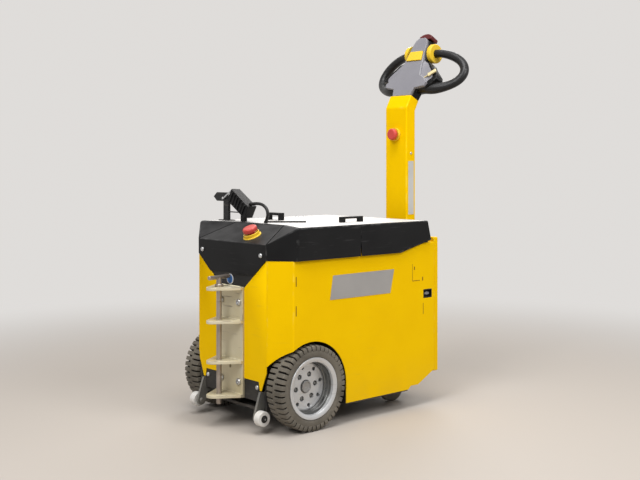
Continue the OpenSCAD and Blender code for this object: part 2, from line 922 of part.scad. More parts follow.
module name_plate() {
    color([0.72, 0.73, 0.74]) side_profile(plate_corners, body_x, body_x + plate_t);
}

module blue_disc() {
    color([0.1, 0.3, 0.7]) facing_front([disc_x, -body_front + sheet, disc_z]) {
        cylinder(h = plate_t, d = disc_d);
        cylinder(h = 2 * plate_t, d = disc_d - 2 * disc_rim);
    }
}

// The cup of the latch, let into the side
module side_latch() {
    color([0.2, 0.2, 0.2]) difference() {
        box([body_x - sheet - latch_depth, latch_y0, latch_z0], [body_x, latch_y1, latch_z1]);
        box([body_x - latch_depth, latch_y0 + sheet, latch_z0 + sheet],
            [body_x + overrun, latch_y1 - sheet, latch_z1 - sheet]);
        at_latch() rod_x(body_x - 2 * latch_depth, body_x, latch_pin_d + 2 * run_fit);
    }
}

module at_latch() {
    translate([0, (latch_y0 + latch_y1) / 2, (latch_z0 + latch_z1) / 2]) children();
}

// The bar that turns on its pin in the cup
module latch_bar() {
    foot = body_x - latch_depth + seat_gap;
    color([0.35, 0.34, 0.36]) at_latch() {
        rod_x(body_x - sheet - latch_depth, foot, latch_pin_d);
        rod_x(foot, body_x - latch_depth / 2, 2 * latch_pin_d);
        box([foot, -latch_bar_len / 2, -latch_bar_w / 2], [body_x - latch_depth / 2, latch_bar_len / 2,
            latch_bar_w / 2]);
    }
}

// Hitch

module shelf_outline() {
    tip = [0, -shelf_tip + shelf_tip_r];
    root = [hitch_w / 2, -body_front - hitch_plate_t + sheet - shelf_corner];
    touch = tangent_point(tip, shelf_tip_r, root, -1);
    polygon(both_halves([touch, root, [hitch_w / 2, -body_front + sheet - hitch_plate_t / 2]]));
    translate(tip) circle(shelf_tip_r);
}

module hitch_bracket() {
    face_y = -body_front + sheet - hitch_plate_t;
    color([0.62, 0.6, 0.54]) difference() {
        union() {
            box([-hitch_w / 2, face_y, hitch_bottom], [hitch_w / 2, -body_front + sheet, hitch_top]);
            for (level = shelf_levels) translate([0, 0, level - shelf_t]) linear_extrude(shelf_t) shelf_outline();
        }
        translate([0, -pin_y, hitch_bottom - overrun]) cylinder(h = hitch_top, d = pin_d + 2 * pin_room);
        for (x = [-hitch_bolt_x, hitch_bolt_x], z = [hitch_bolt_low, hitch_bolt_high])
            translate([x, face_y - overrun, z]) rotate([-90, 0, 0])
                cylinder(h = hitch_plate_t + 2 * overrun, d = hitch_bolt_d + 2 * pin_room);
        translate([0, face_y - overrun, drain_z]) rotate([-90, 0, 0])
            cylinder(h = hitch_plate_t + 2 * overrun, d = drain_d);
    }
}

module hitch_bolts() {
    face_y = -body_front + sheet - hitch_plate_t;
    color([0.72, 0.72, 0.7]) for (x = [-hitch_bolt_x, hitch_bolt_x], z = [hitch_bolt_low, hitch_bolt_high]) {
        facing_front([x, face_y, z]) button_head(hitch_bolt_head_d, hitch_bolt_head_h, hitch_hex);
        translate([x, face_y, z]) rotate([-90, 0, 0]) cylinder(h = hitch_plate_t, d = hitch_bolt_d);
    }
}

module tow_pin() {
    color([0.6, 0.58, 0.52]) translate([0, -pin_y, 0]) {
        translate([0, 0, pin_bottom]) cylinder(h = bar_z - pin_bottom, d = pin_d);
        translate([0, 0, hitch_top + seat_gap]) cylinder(h = collar_h, d = collar_d);
        translate([0, 0, bar_z]) rotate([90, 0, bar_turn]) cylinder(h = bar_len, d = bar_d, center = true);
    }
}

// Drive wheels, drawn about their own axle with +Z outwards

module at_wheel(side) {
    translate([side * wheel_x, 0, axle_z]) rotate([0, 90 * side, 0]) children();
}

module tread_grooves(row) {
    pitch = 360 / tread_blocks;
    for (i = [0 : tread_blocks - 1]) rotate([0, 0, (i + row / 2) * pitch])
        translate([wheel_r - tread_depth, -groove_w / 2, row > 0 ? band_w / 2 : -tyre_w / 2 - overrun])
            cube([tread_depth + overrun, groove_w, tyre_w / 2 - band_w / 2 + overrun]);
}

module tyre(side) {
    flank = [for (s = tyre_flank_shares) [rim_r + s[0] * (wheel_r - rim_r), s[1] * tyre_w / 2]];
    back = [for (i = [len(flank) - 1 : -1 : 0]) [flank[i][0], -flank[i][1]]];
    color([0.36, 0.33, 0.31]) at_wheel(side) difference() {
        rotate_extrude() polygon(concat(flank, back));
        tread_grooves(0);
        tread_grooves(1);
    }
}

module rim(side) {
    color([0.7, 0.71, 0.73]) at_wheel(side) difference() {
        rotate_extrude() polygon([[rim_r, -rim_half], [rim_r, rim_half], [rim_r - disc_t / 2, rim_half + disc_out / 2],
            [lip_r + disc_out, rim_half], [lip_r, rim_half - disc_out], [lip_r - disc_out, -disc_out],
            [hub_bore_d / 2, -disc_out], [hub_bore_d / 2, -disc_out - disc_t], [lip_r - 2 * disc_out,
            -disc_out - disc_t], [lip_r, -rim_half + disc_t], [rim_r - disc_t, -rim_half]]);
        for (i = [0 : rim_holes - 1]) rotate([0, 0, (i + 1 / 2) * 360 / rim_holes])
            translate([rim_hole_pcd / 2, 0, -disc_out - disc_t - overrun])
                cylinder(h = disc_t + 2 * overrun, d = rim_hole_d);
        for (i = [0 : wheel_bolts - 1]) rotate([0, 0, i * 360 / wheel_bolts])
            translate([wheel_bolt_pcd / 2, 0, -disc_out - disc_t - overrun])
                cylinder(h = disc_t + 2 * overrun, d = wheel_bolt_d + 2 * pin_room);
    }
}

// Hub flange with its shaft, cap and the wheel bolts
module hub(side) {
    back = -disc_out - disc_t;
    shaft_end = shaft_in - wheel_x;
    color([0.55, 0.56, 0.58]) at_wheel(side) {
        translate([0, 0, back - hub_flange_t]) cylinder(h = hub_flange_t, d = hub_flange_d);
        translate([0, 0, shaft_end]) cylinder(h = back - shaft_end, d = shaft_d);
        translate([0, 0, side_plate_x + side_plate_t + 2 * wall_fit - wheel_x])
            cylinder(h = wheel_x - side_plate_x - side_plate_t - 2 * wall_fit + back, d = hub_boss_d);
        translate([0, 0, back]) cylinder(h = disc_t, d = hub_bore_d - 2 * seat_gap);
        translate([0, 0, -disc_out]) domed(hub_bore_d, cap_h, cap_dome);
        for (i = [0 : wheel_bolts - 1]) rotate([0, 0, i * 360 / wheel_bolts])
            translate([wheel_bolt_pcd / 2, 0, 0]) {
                translate([0, 0, back]) cylinder(h = disc_t, d = wheel_bolt_d);
                translate([0, 0, -disc_out]) button_head(wheel_bolt_head_d, cap_h / 2, hitch_hex);
            }
    }
}

// Gearbox bolted inside the side plate, with the output bore low and the motor high
module gearbox() {
    color([0.5, 0.51, 0.52]) difference() {
        union() {
            side_profile([[-gearbox_l / 2, axle_z - gearbox_l / 2], [gearbox_l / 2, axle_z - gearbox_l / 2],
                [gearbox_l / 2, axle_z + gearbox_h - gearbox_up], [gearbox_up, axle_z + gearbox_h],
                [-gearbox_up, axle_z + gearbox_h], [-gearbox_l / 2, axle_z + gearbox_h - gearbox_up]],
                side_plate_x - gearbox_w, side_plate_x);
            translate([0, 0, axle_z]) rod_x(side_plate_x, side_plate_x + side_plate_t - wall_fit,
                axle_hole_d - 2 * wall_fit);
        }
        translate([0, 0, axle_z]) rod_x(side_plate_x - gearbox_w - overrun,
            side_plate_x + side_plate_t + overrun, shaft_d + 2 * run_fit);
    }
}

module motor() {
    color([0.14, 0.14, 0.15]) translate([0, 0, axle_z + motor_rise]) {
        rod_x(motor_gap / 2 + cap_h, side_plate_x - gearbox_w, motor_d);
        rod_x(motor_gap / 2, motor_gap / 2 + cap_h, motor_d - 2 * cap_h);
    }
}

// Front rollers

module roller_arms() {
    color([0.45, 0.45, 0.44]) both_sides() {
        difference() {
            side_profile([[-roller_y - arm_r, roller_z], tangent_point([-roller_y, roller_z], arm_r,
                [-body_front + sheet - arm_t, arm_top], 1), [-body_front + sheet - arm_t, arm_top],
                [-body_fold, arm_top], [-body_fold, body_bottom + floor_t],
                [-body_front + sheet + front_plate_t, body_bottom + floor_t],
                tangent_point([-roller_y, roller_z], arm_r, [-body_front + sheet + front_plate_t,
                body_bottom + floor_t], -1), [-roller_y, roller_z]], arm_x, arm_x + arm_t);
            translate([0, -roller_y, roller_z]) rod_x(arm_x - overrun, arm_x + arm_t + overrun, roller_bore_d);
        }
        translate([0, -roller_y, roller_z]) difference() {
            rod_x(arm_x, arm_x + arm_t, 2 * arm_r);
            rod_x(arm_x - overrun, arm_x + arm_t + overrun, roller_bore_d);
        }
        translate([0, -roller_y, roller_z]) {
            rod_x(arm_x - roller_head_h, roller_x + roller_w / 2, roller_bore_d);
            rod_x(roller_x + roller_w / 2 + seat_gap - roller_hub_recess, roller_x + roller_w / 2
                + roller_head_h - roller_hub_recess, roller_head_d);
            rod_x(arm_x - roller_head_h, arm_x, roller_head_d);
            rod_x(arm_x + arm_t, roller_x - roller_w / 2 - seat_gap, roller_head_d);
        }
    }
}

module roller(side) {
    color([0.88, 0.87, 0.84]) translate([side * roller_x, -roller_y, roller_z]) rotate([0, 90 * side, 0])
        rotate_extrude() {
            edge = roller_hub_recess;
            polygon([[roller_bore_d / 2 + run_fit, -roller_w / 2], [roller_d / 2 - edge, -roller_w / 2],
                [roller_d / 2, -roller_w / 2 + edge], [roller_d / 2, roller_w / 2 - edge],
                [roller_d / 2 - edge, roller_w / 2], [roller_hub_d / 2, roller_w / 2],
                [roller_hub_d / 2, roller_w / 2 - edge], [roller_bore_d / 2 + run_fit, roller_w / 2 - edge]]);
        }
}

// Swivel castors under the tray

module castor_mounts() {
    plate_z = tray_z - castor_plate_t;
    color([0.6, 0.6, 0.6]) both_sides() translate([castor_x, castor_y, 0]) difference() {
        union() {
            translate([-castor_plate_w / 2, -castor_plate_l / 2, plate_z])
                cube([castor_plate_w, castor_plate_l, castor_plate_t]);
            translate([0, 0, plate_z - swivel_h]) cylinder(h = swivel_h, d = swivel_d);
        }
        translate([0, 0, plate_z - swivel_h - overrun]) cylinder(h = swivel_h + overrun,
            d = kingpin_d + 2 * run_fit);
    }
}

module castor_fork(side) {
    crown_z = tray_z - castor_plate_t - swivel_h - seat_gap - crown_h;
    leg_x = castor_w / 2 + fork_room;
    color([0.6, 0.6, 0.6]) translate([side * castor_x, castor_y, 0]) {
        translate([0, 0, crown_z]) cylinder(h = crown_h, d = swivel_d);
        translate([0, 0, crown_z + crown_h]) cylinder(h = swivel_h - castor_plate_t, d = kingpin_d);
        both_sides() difference() {
            union() {
                side_profile([[-swivel_d / 3, crown_z + crown_h], [swivel_d / 3, crown_z + crown_h],
                    [castor_trail + castor_axle_d, castor_d / 2], [castor_trail - castor_axle_d, castor_d / 2]],
                    leg_x, leg_x + fork_t);
                translate([0, castor_trail, castor_d / 2]) rod_x(leg_x, leg_x + fork_t, 2 * castor_axle_d);
            }
            translate([0, castor_trail, castor_d / 2]) rod_x(leg_x - overrun, leg_x + fork_t + overrun,
                castor_axle_d);
        }
        translate([0, castor_trail, castor_d / 2]) {
            rod_x(-leg_x - fork_t, leg_x + fork_t, castor_axle_d);
            both_sides() rod_x(leg_x + fork_t, leg_x + 2 * fork_t, 1.6 * castor_axle_d);
        }
    }
}

module castor_wheel(side) {
    edge = castor_w / 8;
    color([0.2, 0.2, 0.2]) translate([side * castor_x, castor_y + castor_trail, castor_d / 2])
        rotate([0, 90, 0]) rotate_extrude() polygon([[castor_axle_d / 2 + run_fit, -castor_w / 2],
            [castor_hub_d / 2, -castor_w / 2], [castor_hub_d / 2 + edge, -castor_w / 2 + edge],
            [castor_d / 2 - 2 * edge, -castor_w / 2 + edge], [castor_d / 2, -castor_w / 4],
            [castor_d / 2, castor_w / 4], [castor_d / 2 - 2 * edge, castor_w / 2 - edge],
            [castor_hub_d / 2 + edge, castor_w / 2 - edge], [castor_hub_d / 2, castor_w / 2],
            [castor_axle_d / 2 + run_fit, castor_w / 2]]);
}

// Inside the body

module batteries() {
    base = body_bottom - floor_drop + floor_t;
    color([0.2, 0.22, 0.25]) both_sides() {
        box([battery_gap, bay_y + battery_gap, base], [side_plate_x - wall_fit, bay_y + battery_gap + battery_l,
            base + battery_h]);
        for (share = terminal_shares) translate([side_plate_x / 2, bay_y + battery_gap + battery_l * share,
            base + battery_h]) cylinder(h = terminal_h, d = terminal_d);
    }
}

module charger() {
    color([0.55, 0.56, 0.58]) difference() {
        box([-charger_w / 2, tray_y + 2 * tray_t, tray_z + tray_t],
            [charger_w / 2, tray_y + 2 * tray_t + charger_l, tray_z + tray_t + charger_h]);
        for (i = [1 : fin_count - 1]) box([-charger_w / 2 + charger_w * i / fin_count - fin_t,
            tray_y + 2 * tray_t + fin_h, tray_z + tray_t + charger_h - fin_h], [-charger_w / 2
            + charger_w * i / fin_count + fin_t, tray_y + 2 * tray_t + charger_l - fin_h,
            tray_z + tray_t + charger_h + overrun]);
    }
}

module motor_controller() {
    color([0.3, 0.31, 0.33]) {
        box([-side_plate_x - side_plate_t, -body_fold, side_plate_top], [side_plate_x + side_plate_t,
            control_l - body_fold, side_plate_top + tray_t]);
        box([-control_w / 2, -body_fold, side_plate_top + tray_t], [control_w / 2, control_l - body_fold,
            side_plate_top + tray_t + control_h]);
        for (i = [0 : fin_count - 1]) translate([-control_w / 2 + control_w * i / fin_count, -body_fold,
            side_plate_top + tray_t + control_h]) cube([fin_t, control_l, fin_h]);
    }
}

// Connector and the small things on the deck

module connector_bracket() {
    flange_end = -post_x - post_w / 2 - flange_len;
    color([0.3, 0.3, 0.31]) difference() {
        union() {
            box([-post_x - post_w / 2, 0, cover_top], [-post_x + post_w / 2, post_t, post_top]);
            front_profile([[-post_x, post_top - flange_h], [flange_end + flange_tip, post_top - flange_h],
                [flange_end, post_top - flange_h / 2], [flange_end + flange_tip, post_top],
                [-post_x, post_top]], 0, flange_t);
            box([-post_x - post_w, -post_t, cover_top], [-post_x + post_w, 2 * post_t, cover_top + sheet]);
        }
        translate([flange_hole_x, -overrun, flange_hole_z]) rotate([-90, 0, 0])
            cylinder(h = flange_t + 2 * overrun, d = flange_hole_d);
    }
}

module connector_block() {
    front = (post_t - block_d) / 2;
    color([0.1, 0.1, 0.11]) {
        translate([-block_x, 0, block_z]) rotate([0, block_tilt, 0]) {
            translate([-block_len / 2, front, -block_h / 2]) cube([block_len, block_d, block_h]);
            for (i = [1 : block_ribs]) translate([-block_len / 2 + block_len * i / (block_ribs + 1) - sheet / 2,
                front - sheet, -block_h / 2 + sheet])
                cube([sheet, block_d + 2 * sheet, block_h - 2 * sheet]);
        }
        // arm to the post, foot on the deck and locking lever
        box([-post_x + post_w / 2, 0, block_arm_z], [-block_x + block_arm_reach, post_t, block_arm_z + sheet]);
        box([-block_x, 0, cover_top], [-block_x + block_foot_w, post_t, cover_top + block_foot_h]);
        translate([lever_x, front + sheet, lever_z]) rotate([0, -block_tilt, 0]) cube([lever_len, lever_w, lever_t]);
    }
}

module connector_lead() {
    color([0.08, 0.08, 0.08]) tube_along(lead_route, lead_d / 2, lead_sides, [0, 1, 0]);
}

module cable_channel() {
    color([0.1, 0.1, 0.1]) difference() {
        box([channel_x0, channel_y - channel_d / 2, cover_top], [channel_x1, channel_y + channel_d / 2,
            cover_top + channel_h]);
        box([channel_x0 + channel_t, channel_y - channel_d / 2 - overrun, cover_top - overrun],
            [channel_x1 - channel_t, channel_y + channel_d / 2 + overrun,
                cover_top + channel_h - channel_top_t]);
    }
}

module deck_rod() {
    run = rod_b - rod_a;
    color([0.1, 0.1, 0.1]) translate([rod_a[0], rod_a[1], cover_top]) rotate([0, 0, atan2(run[1], run[0])]) {
        translate([eye_d / 3, 0, rod_d / 2]) rod_x(0, norm(run) - eye_d, rod_d);
        difference() {
            cylinder(h = rod_d, d = eye_d);
            translate([0, 0, -overrun]) cylinder(h = rod_d + 2 * overrun, d = eye_hole_d);
        }
    }
}

// Emergency stops

module stop_head(d, out) {
    under = out - stop_dome - stop_rim;
    translate([0, 0, estop_travel + seat_gap]) cylinder(h = under - estop_travel - seat_gap, d = stop_neck_d);
    translate([0, 0, under]) domed(d, stop_dome + stop_rim, stop_dome * stop_dome_share);
}

module on_fascia() {
    translate([front_stop_x, front_stop_y, fascia_fold_z + (cover_front + front_stop_y) * tan(slope)])
        rotate([slope, 0, 0]) children();
}

module front_stop_base() {
    color([0.95, 0.8, 0.05]) on_fascia() difference() {
        union() {
            cylinder(h = stop_disc_t, d = stop_disc_d);
            domed(stop_ring_d, stop_ring_h, stop_disc_t);
        }
        translate([0, 0, -overrun]) cylinder(h = stop_ring_h + 2 * overrun, d = stop_neck_d + 2 * seat_gap);
    }
}

module front_stop_head() {
    color([0.85, 0.1, 0.06]) on_fascia() stop_head(front_estop_d, stop_out);
}

module on_mast() {
    translate([0, mast_y, mast_stop_z]) rotate([90, 0, 0]) children();
}

module mast_stop_base() {
    color([0.12, 0.12, 0.12]) on_mast() difference() {
        cylinder(h = mast_ring_h, d = mast_ring_d);
        translate([0, 0, -overrun]) cylinder(h = mast_ring_h + 2 * overrun, d = stop_neck_d + 2 * seat_gap);
    }
}

module mast_stop_head() {
    color([0.85, 0.1, 0.06]) on_mast() stop_head(estop_d, mast_stop_out);
}

// Mast

function mast_outline(wall) =
    let (bend = mast_bend_z, back_bend = bend - mast_d * tan(tilt / 2), lean = [sin(tilt), cos(tilt)],
        top = [mast_y, bend] + mast_run * lean)
    [[mast_y + wall, mast_bottom], [mast_y + wall, bend - wall * tan(tilt / 2)],
        top + wall * [cos(tilt), -sin(tilt)], top + (mast_d - wall) * [cos(tilt), -sin(tilt)],
        [mast_y + mast_d - wall, back_bend + wall * tan(tilt / 2)], [mast_y + mast_d - wall, mast_bottom]];

module mast() {
    color([0.94, 0.77, 0]) difference() {
        side_profile(mast_outline(0), -mast_w / 2, mast_w / 2);
        translate([0, 0, -overrun]) side_profile(mast_outline(mast_wall), -mast_w / 2 + mast_wall,
            mast_w / 2 - mast_wall);
        translate([0, mast_y + mast_wall + overrun, mast_stop_z]) rotate([90, 0, 0])
            cylinder(h = mast_wall + 2 * overrun, d = stop_neck_d + 2 * seat_gap);
    }
}

module mast_bracket() {
    back = body_rear + panel_depth;
    color([0.94, 0.77, 0]) {
        box([-mast_w / 2 - bracket_flange, back, bracket_bottom], [mast_w / 2 + bracket_flange, back + bracket_t,
            bracket_top]);
        both_sides() side_profile([[back + bracket_t, bracket_bottom], [mast_y + mast_d, bracket_bottom
            + bracket_flange], [mast_y + mast_d, bracket_top - bracket_flange], [back + bracket_t, bracket_top]],
            mast_w / 2, mast_w / 2 + bracket_t);
    }
}

module mast_strip() {
    color([0.3, 0.3, 0.3]) translate([mast_w / 2, mast_y + (mast_d - strip_w) / 2, strip_z0])
        cube([plate_t, strip_w, strip_z1 - strip_z0]);
}

// Tiller head

module at_head() {
    translate([0, head_y, head_z]) rotate([-tilt, 0, 0]) children();
}

// An outline up the face from shares of its length and half widths
function up_face(shares, half_widths) = [for (i = [0 : len(shares) - 1])
    [half_widths[i], face_len * shares[i]]];

// A plate with the same outline on both sides, between two depths
module head_plate(outline, h0, h1) {
    front_profile(both_halves(outline), h0, h1);
}

// The pin's axis of the rocker, with X along it
module at_rocker() {
    translate([rocker_x, rocker_h, rocker_s]) rotate([0, -rocker_turn, 0]) children();
}

module tiller_face() {
    color([0.57, 0.57, 0.59]) at_head() difference() {
        head_plate(up_face(face_rise_shares, face_half_widths), 0, face_t);
        button_plate(seat_gap, -overrun, button_well);
        at_rocker() rod_x(-rocker_pin_len, 0, rocker_pin_d + 2 * run_fit);
    }
}

// The button's outline with some room round it, between two depths
module button_plate(grow, h0, h1) {
    low = face_len * button_rise_shares[0] - grow;
    high = face_len * button_rise_shares[1] + grow;
    head_plate([[button_half_widths[0] + grow, low], [button_half_widths[1] + grow, high]], h0, h1);
}

module face_button() {
    color([0.95, 0.8, 0.1]) at_head() button_plate(0, -button_out, button_well - button_travel - seat_gap);
}

module tiller_shell() {
    outline = concat(up_face(shell_rise_shares, shell_half_widths), [[shoulder_half_w, shoulder_s]]);
    color([0.11, 0.11, 0.12]) at_head() difference() {
        union() {
            head_plate(outline, face_t, shell_d);
            translate([-neck_w / 2, (belly_h0 + shell_d - neck_d) / 2, shoulder_s - overrun])
                cube([neck_w, neck_d, neck_top_s - shoulder_s + overrun]);
        }
        both_sides() tube_along(ring_route(), handle_d / 2 + run_fit, tube_sides, [0, 1, 0]);
    }
}

// The handle leaves the shell across, then sweeps round and backwards
function ring_route() = concat([[ring_in_x, ring_h, ring_low_s], [ring_stub_x, ring_h, ring_low_s]],
    [for (i = [0 : arc_steps]) let (a = 180 * i / arc_steps - 90, out = ring_reach_x * cos(a))
        [ring_x + out, ring_h + out * ring_rise_share, ring_s + ring_reach_s * sin(a)]],
    [[ring_stub_x, ring_h, ring_top_s], [ring_in_x, ring_h, ring_top_s]]);

module handle_ring() {
    color([0.08, 0.08, 0.08]) at_head() both_sides()
        tube_along(ring_route(), handle_d / 2, tube_sides, [0, 1, 0]);
}

module thumb_wheels() {
    color([0.95, 0.77, 0.1]) at_head() both_sides() translate([thumb_in, ring_h, ring_top_s]) rotate([0, 90, 0])
        difference() {
            domed(thumb_d, thumb_w, thumb_edge);
            translate([0, 0, -overrun]) cylinder(h = thumb_w + 2 * overrun, d = handle_d + 2 * seat_gap);
        }
}

// A cap with a round top that slides down over the neck of the shell
module belly_button() {
    top = face_len + belly_len;
    arc_turn = asin(shoulder_half_w / belly_top_r);
    arc = [for (i = [0 : arc_steps]) let (a = arc_turn - 2 * arc_turn * i / arc_steps)
        [belly_top_r * sin(a), top - belly_top_r + belly_top_r * cos(a)]];
    color([0.75, 0.1, 0.08]) at_head() difference() {
        front_profile(concat([[shoulder_half_w, belly_skirt_s]], arc, [[-shoulder_half_w, belly_skirt_s]]),
            belly_h0, shell_d);
        translate([-neck_w / 2 - seat_gap, (belly_h0 + shell_d - neck_d) / 2 - seat_gap,
            belly_skirt_s - overrun])
            cube([neck_w + 2 * seat_gap, neck_d + 2 * seat_gap,
                neck_top_s + belly_travel + wall_fit - belly_skirt_s + overrun]);
    }
}

// A tilting switch lever on its pin in the edge of the face
module rocker() {
    color([0.85, 0.78, 0.5]) at_head() at_rocker() {
        rod_x(-rocker_pin_len, overrun, rocker_pin_d);
        box([0, -rocker_t / 2, -rocker_w / 2], [rocker_len, rocker_t / 2, rocker_w / 2]);
    }
}

module placed() {
    translate([0, -mid_y, 0]) children();
}

placed() chassis();
placed() front_plate();
placed() body_shell();
placed() rear_panel();
placed() front_cover();
placed() front_deck();
placed() screws();
placed() name_plate();
placed() blue_disc();
placed() side_latch();
placed() latch_bar();
placed() hitch_bracket();
placed() hitch_bolts();
placed() tow_pin();
placed() tyre(-1);  // tyre_left
placed() tyre(1);  // tyre_right
placed() rim(-1);  // rim_left
placed() rim(1);  // rim_right
placed() hub(-1);  // hub_left
placed() hub(1);  // hub_right
placed() mirror([1, 0, 0]) gearbox();  // gearbox_left
placed() gearbox();  // gearbox_right
placed() mirror([1, 0, 0]) motor();  // motor_left
placed() motor();  // motor_right
placed() roller_arms();
placed() roller(-1);  // roller_left
placed() roller(1);  // roller_right
placed() castor_mounts();
placed() castor_fork(-1);  // castor_fork_left
placed() castor_fork(1);  // castor_fork_right
placed() castor_wheel(-1);  // castor_wheel_left
placed() castor_wheel(1);  // castor_wheel_right
placed() batteries();
placed() charger();
placed() motor_controller();
placed() rear_cover();
placed() rear_deck();
placed() deck_handle();
placed() deck_screws();
placed() hinge_fixed();
placed() hinge_moving();
placed() connector_bracket();
placed() connector_block();
placed() connector_lead();
placed() cable_channel();
placed() deck_rod();
placed() front_stop_base();
placed() front_stop_head();
placed() mast();
placed() mast_bracket();
placed() mast_strip();
placed() mast_stop_base();
placed() mast_stop_head();
placed() tiller_shell();
placed() tiller_face();
placed() handle_ring();
placed() thumb_wheels();
placed() face_button();
placed() belly_button();
placed() rocker();
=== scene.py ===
"""Looks of a walk behind electric tug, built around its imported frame.

Sheet, castings and mouldings get rounded edges, the tyres their tread, the handle and the lead their smooth
sweep, and every surface a finish made of nodes. The sizes of the sub-assemblies are millimetres, and their
places are taken from the drive axle's line on the floor. What Blender gets is metres in the frame's own axes.
"""

import json
import logging
import math
from dataclasses import dataclass
from enum import Enum
from functools import cache
from typing import Iterable, Optional, Sequence

import bmesh
import bpy
from mathutils import Matrix, Vector

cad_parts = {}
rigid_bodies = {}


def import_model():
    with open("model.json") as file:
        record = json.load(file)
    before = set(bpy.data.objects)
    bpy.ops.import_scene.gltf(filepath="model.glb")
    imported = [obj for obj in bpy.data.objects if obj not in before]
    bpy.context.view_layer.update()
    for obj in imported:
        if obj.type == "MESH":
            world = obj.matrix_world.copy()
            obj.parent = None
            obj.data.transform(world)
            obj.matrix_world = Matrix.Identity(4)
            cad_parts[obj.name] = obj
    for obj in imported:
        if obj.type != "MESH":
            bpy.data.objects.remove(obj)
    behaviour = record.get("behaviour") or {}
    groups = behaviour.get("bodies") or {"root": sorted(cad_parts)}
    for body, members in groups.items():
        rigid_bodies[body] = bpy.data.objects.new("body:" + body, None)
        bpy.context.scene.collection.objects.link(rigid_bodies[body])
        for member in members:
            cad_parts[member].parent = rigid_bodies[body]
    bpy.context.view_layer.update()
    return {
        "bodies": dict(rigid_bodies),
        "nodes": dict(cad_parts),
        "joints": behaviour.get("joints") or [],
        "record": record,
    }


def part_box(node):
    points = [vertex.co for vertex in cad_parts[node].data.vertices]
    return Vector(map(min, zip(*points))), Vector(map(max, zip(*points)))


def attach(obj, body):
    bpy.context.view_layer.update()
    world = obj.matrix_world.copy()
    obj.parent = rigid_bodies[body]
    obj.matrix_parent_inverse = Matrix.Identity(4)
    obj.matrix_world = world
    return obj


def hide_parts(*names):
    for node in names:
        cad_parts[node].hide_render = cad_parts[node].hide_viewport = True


MM = 0.001
TURN = 2 * math.pi
SIDES = (("left", -1.0), ("right", 1.0))

# how a node's mesh is cleaned before its edges are rounded: distance in metres and angle in degrees
MERGE_DISTANCE = 0.01 * MM
FLAT_ANGLE = 0.5
# angles in degrees from which an edge or an outer corner is rounded, and the faces across its rounding
EDGE_ANGLE = 32
EDGE_STEPS = 2
CORNER_ANGLE = 20
CORNER_STEPS = 5
# area from which a face beside an outer corner counts as large, in square metres
LARGE_FACE = 0.003

COLOUR = "NodeSocketColor"
VALUE = "NodeSocketFloat"
VECTOR = "NodeSocketVector"
WHOLE = "NodeSocketInt"
GEOMETRY = "NodeSocketGeometry"
COLOUR_AND_MASK = {"Colour": COLOUR, "Mask": VALUE}

Colour = tuple[float, float, float]
Point = tuple[float, float, float]
Outline = Sequence[tuple[float, float]]

log = logging.getLogger("tug")


class Grain(Enum):
    """Fine relief of a surface: pattern scale, roughness of the pattern and stretch along X, Y and Z."""

    PAINT = (140.0, 0.45, (1.0, 1.0, 1.0))
    MOULDED = (1100.0, 0.6, (1.0, 1.0, 1.0))
    CAST = (320.0, 0.6, (1.0, 1.0, 1.0))
    ROLLED = (90.0, 0.55, (1.0, 1.0, 0.12))
    BRUSHED = (420.0, 0.6, (0.06, 0.06, 1.0))
    TURNED = (500.0, 0.5, (1.0, 0.2, 0.2))
    RUBBER = (420.0, 0.7, (1.0, 1.0, 1.0))


def opaque(colour: Colour) -> tuple[float, float, float, float]:
    """Gives a colour its alpha of 1."""
    return (*colour, 1.0)


class NodeWork:
    """Adds nodes to one node tree and feeds their inputs."""

    def __init__(self, tree: bpy.types.NodeTree) -> None:
        """Takes the tree to work on."""
        self.tree = tree

    def feed(self, node: bpy.types.Node, inputs: dict) -> None:
        """Feeds inputs of a node.

        Args:
            node: The node.
            inputs: For each input, by its name or number, a socket to link to it or a plain value.
        """
        for key, source in inputs.items():
            if isinstance(source, bpy.types.NodeSocket):
                self.tree.links.new(source, node.inputs[key])
            else:
                node.inputs[key].default_value = source

    def node(self, kind: str, inputs: Optional[dict] = None, **settings: object) -> bpy.types.Node:
        """Adds a node.

        Args:
            kind: Type of the node.
            inputs: What its inputs take, as feed reads it.
            **settings: Properties of the node.

        Returns:
            The node.
        """
        made = self.tree.nodes.new(kind)
        for name, value in settings.items():
            setattr(made, name, value)
        self.feed(made, inputs or {})
        return made

    def maths(self, operation: str, *sources: object, clamp: bool = False) -> bpy.types.NodeSocket:
        """Adds one step of arithmetic.

        Args:
            operation: Name of the operation.
            *sources: A socket or a number for each input.
            clamp: Whether the result is kept from 0 to 1.

        Returns:
            The socket of the result.
        """
        made = self.node("ShaderNodeMath", dict(enumerate(sources)), operation=operation, use_clamp=clamp)
        return made.outputs[0]

    def ranged(self, value: bpy.types.NodeSocket, low: float, high: float,
               interpolation: str = "LINEAR") -> bpy.types.NodeSocket:
        """Maps a value from between two limits to 0 to 1, clamped.

        Args:
            value: Socket of the value.
            low: Value that becomes 0.
            high: Value that becomes 1.
            interpolation: How it runs between the two.

        Returns:
            The socket of the result.
        """
        inputs = {"Value": value, "From Min": low, "From Max": high}
        return self.node("ShaderNodeMapRange", inputs, interpolation_type=interpolation).outputs["Result"]

    def group(self, tree: bpy.types.NodeTree, **inputs: object) -> bpy.types.Node:
        """Places a shader group and feeds its inputs by name."""
        return self.node("ShaderNodeGroup", inputs, node_tree=tree)


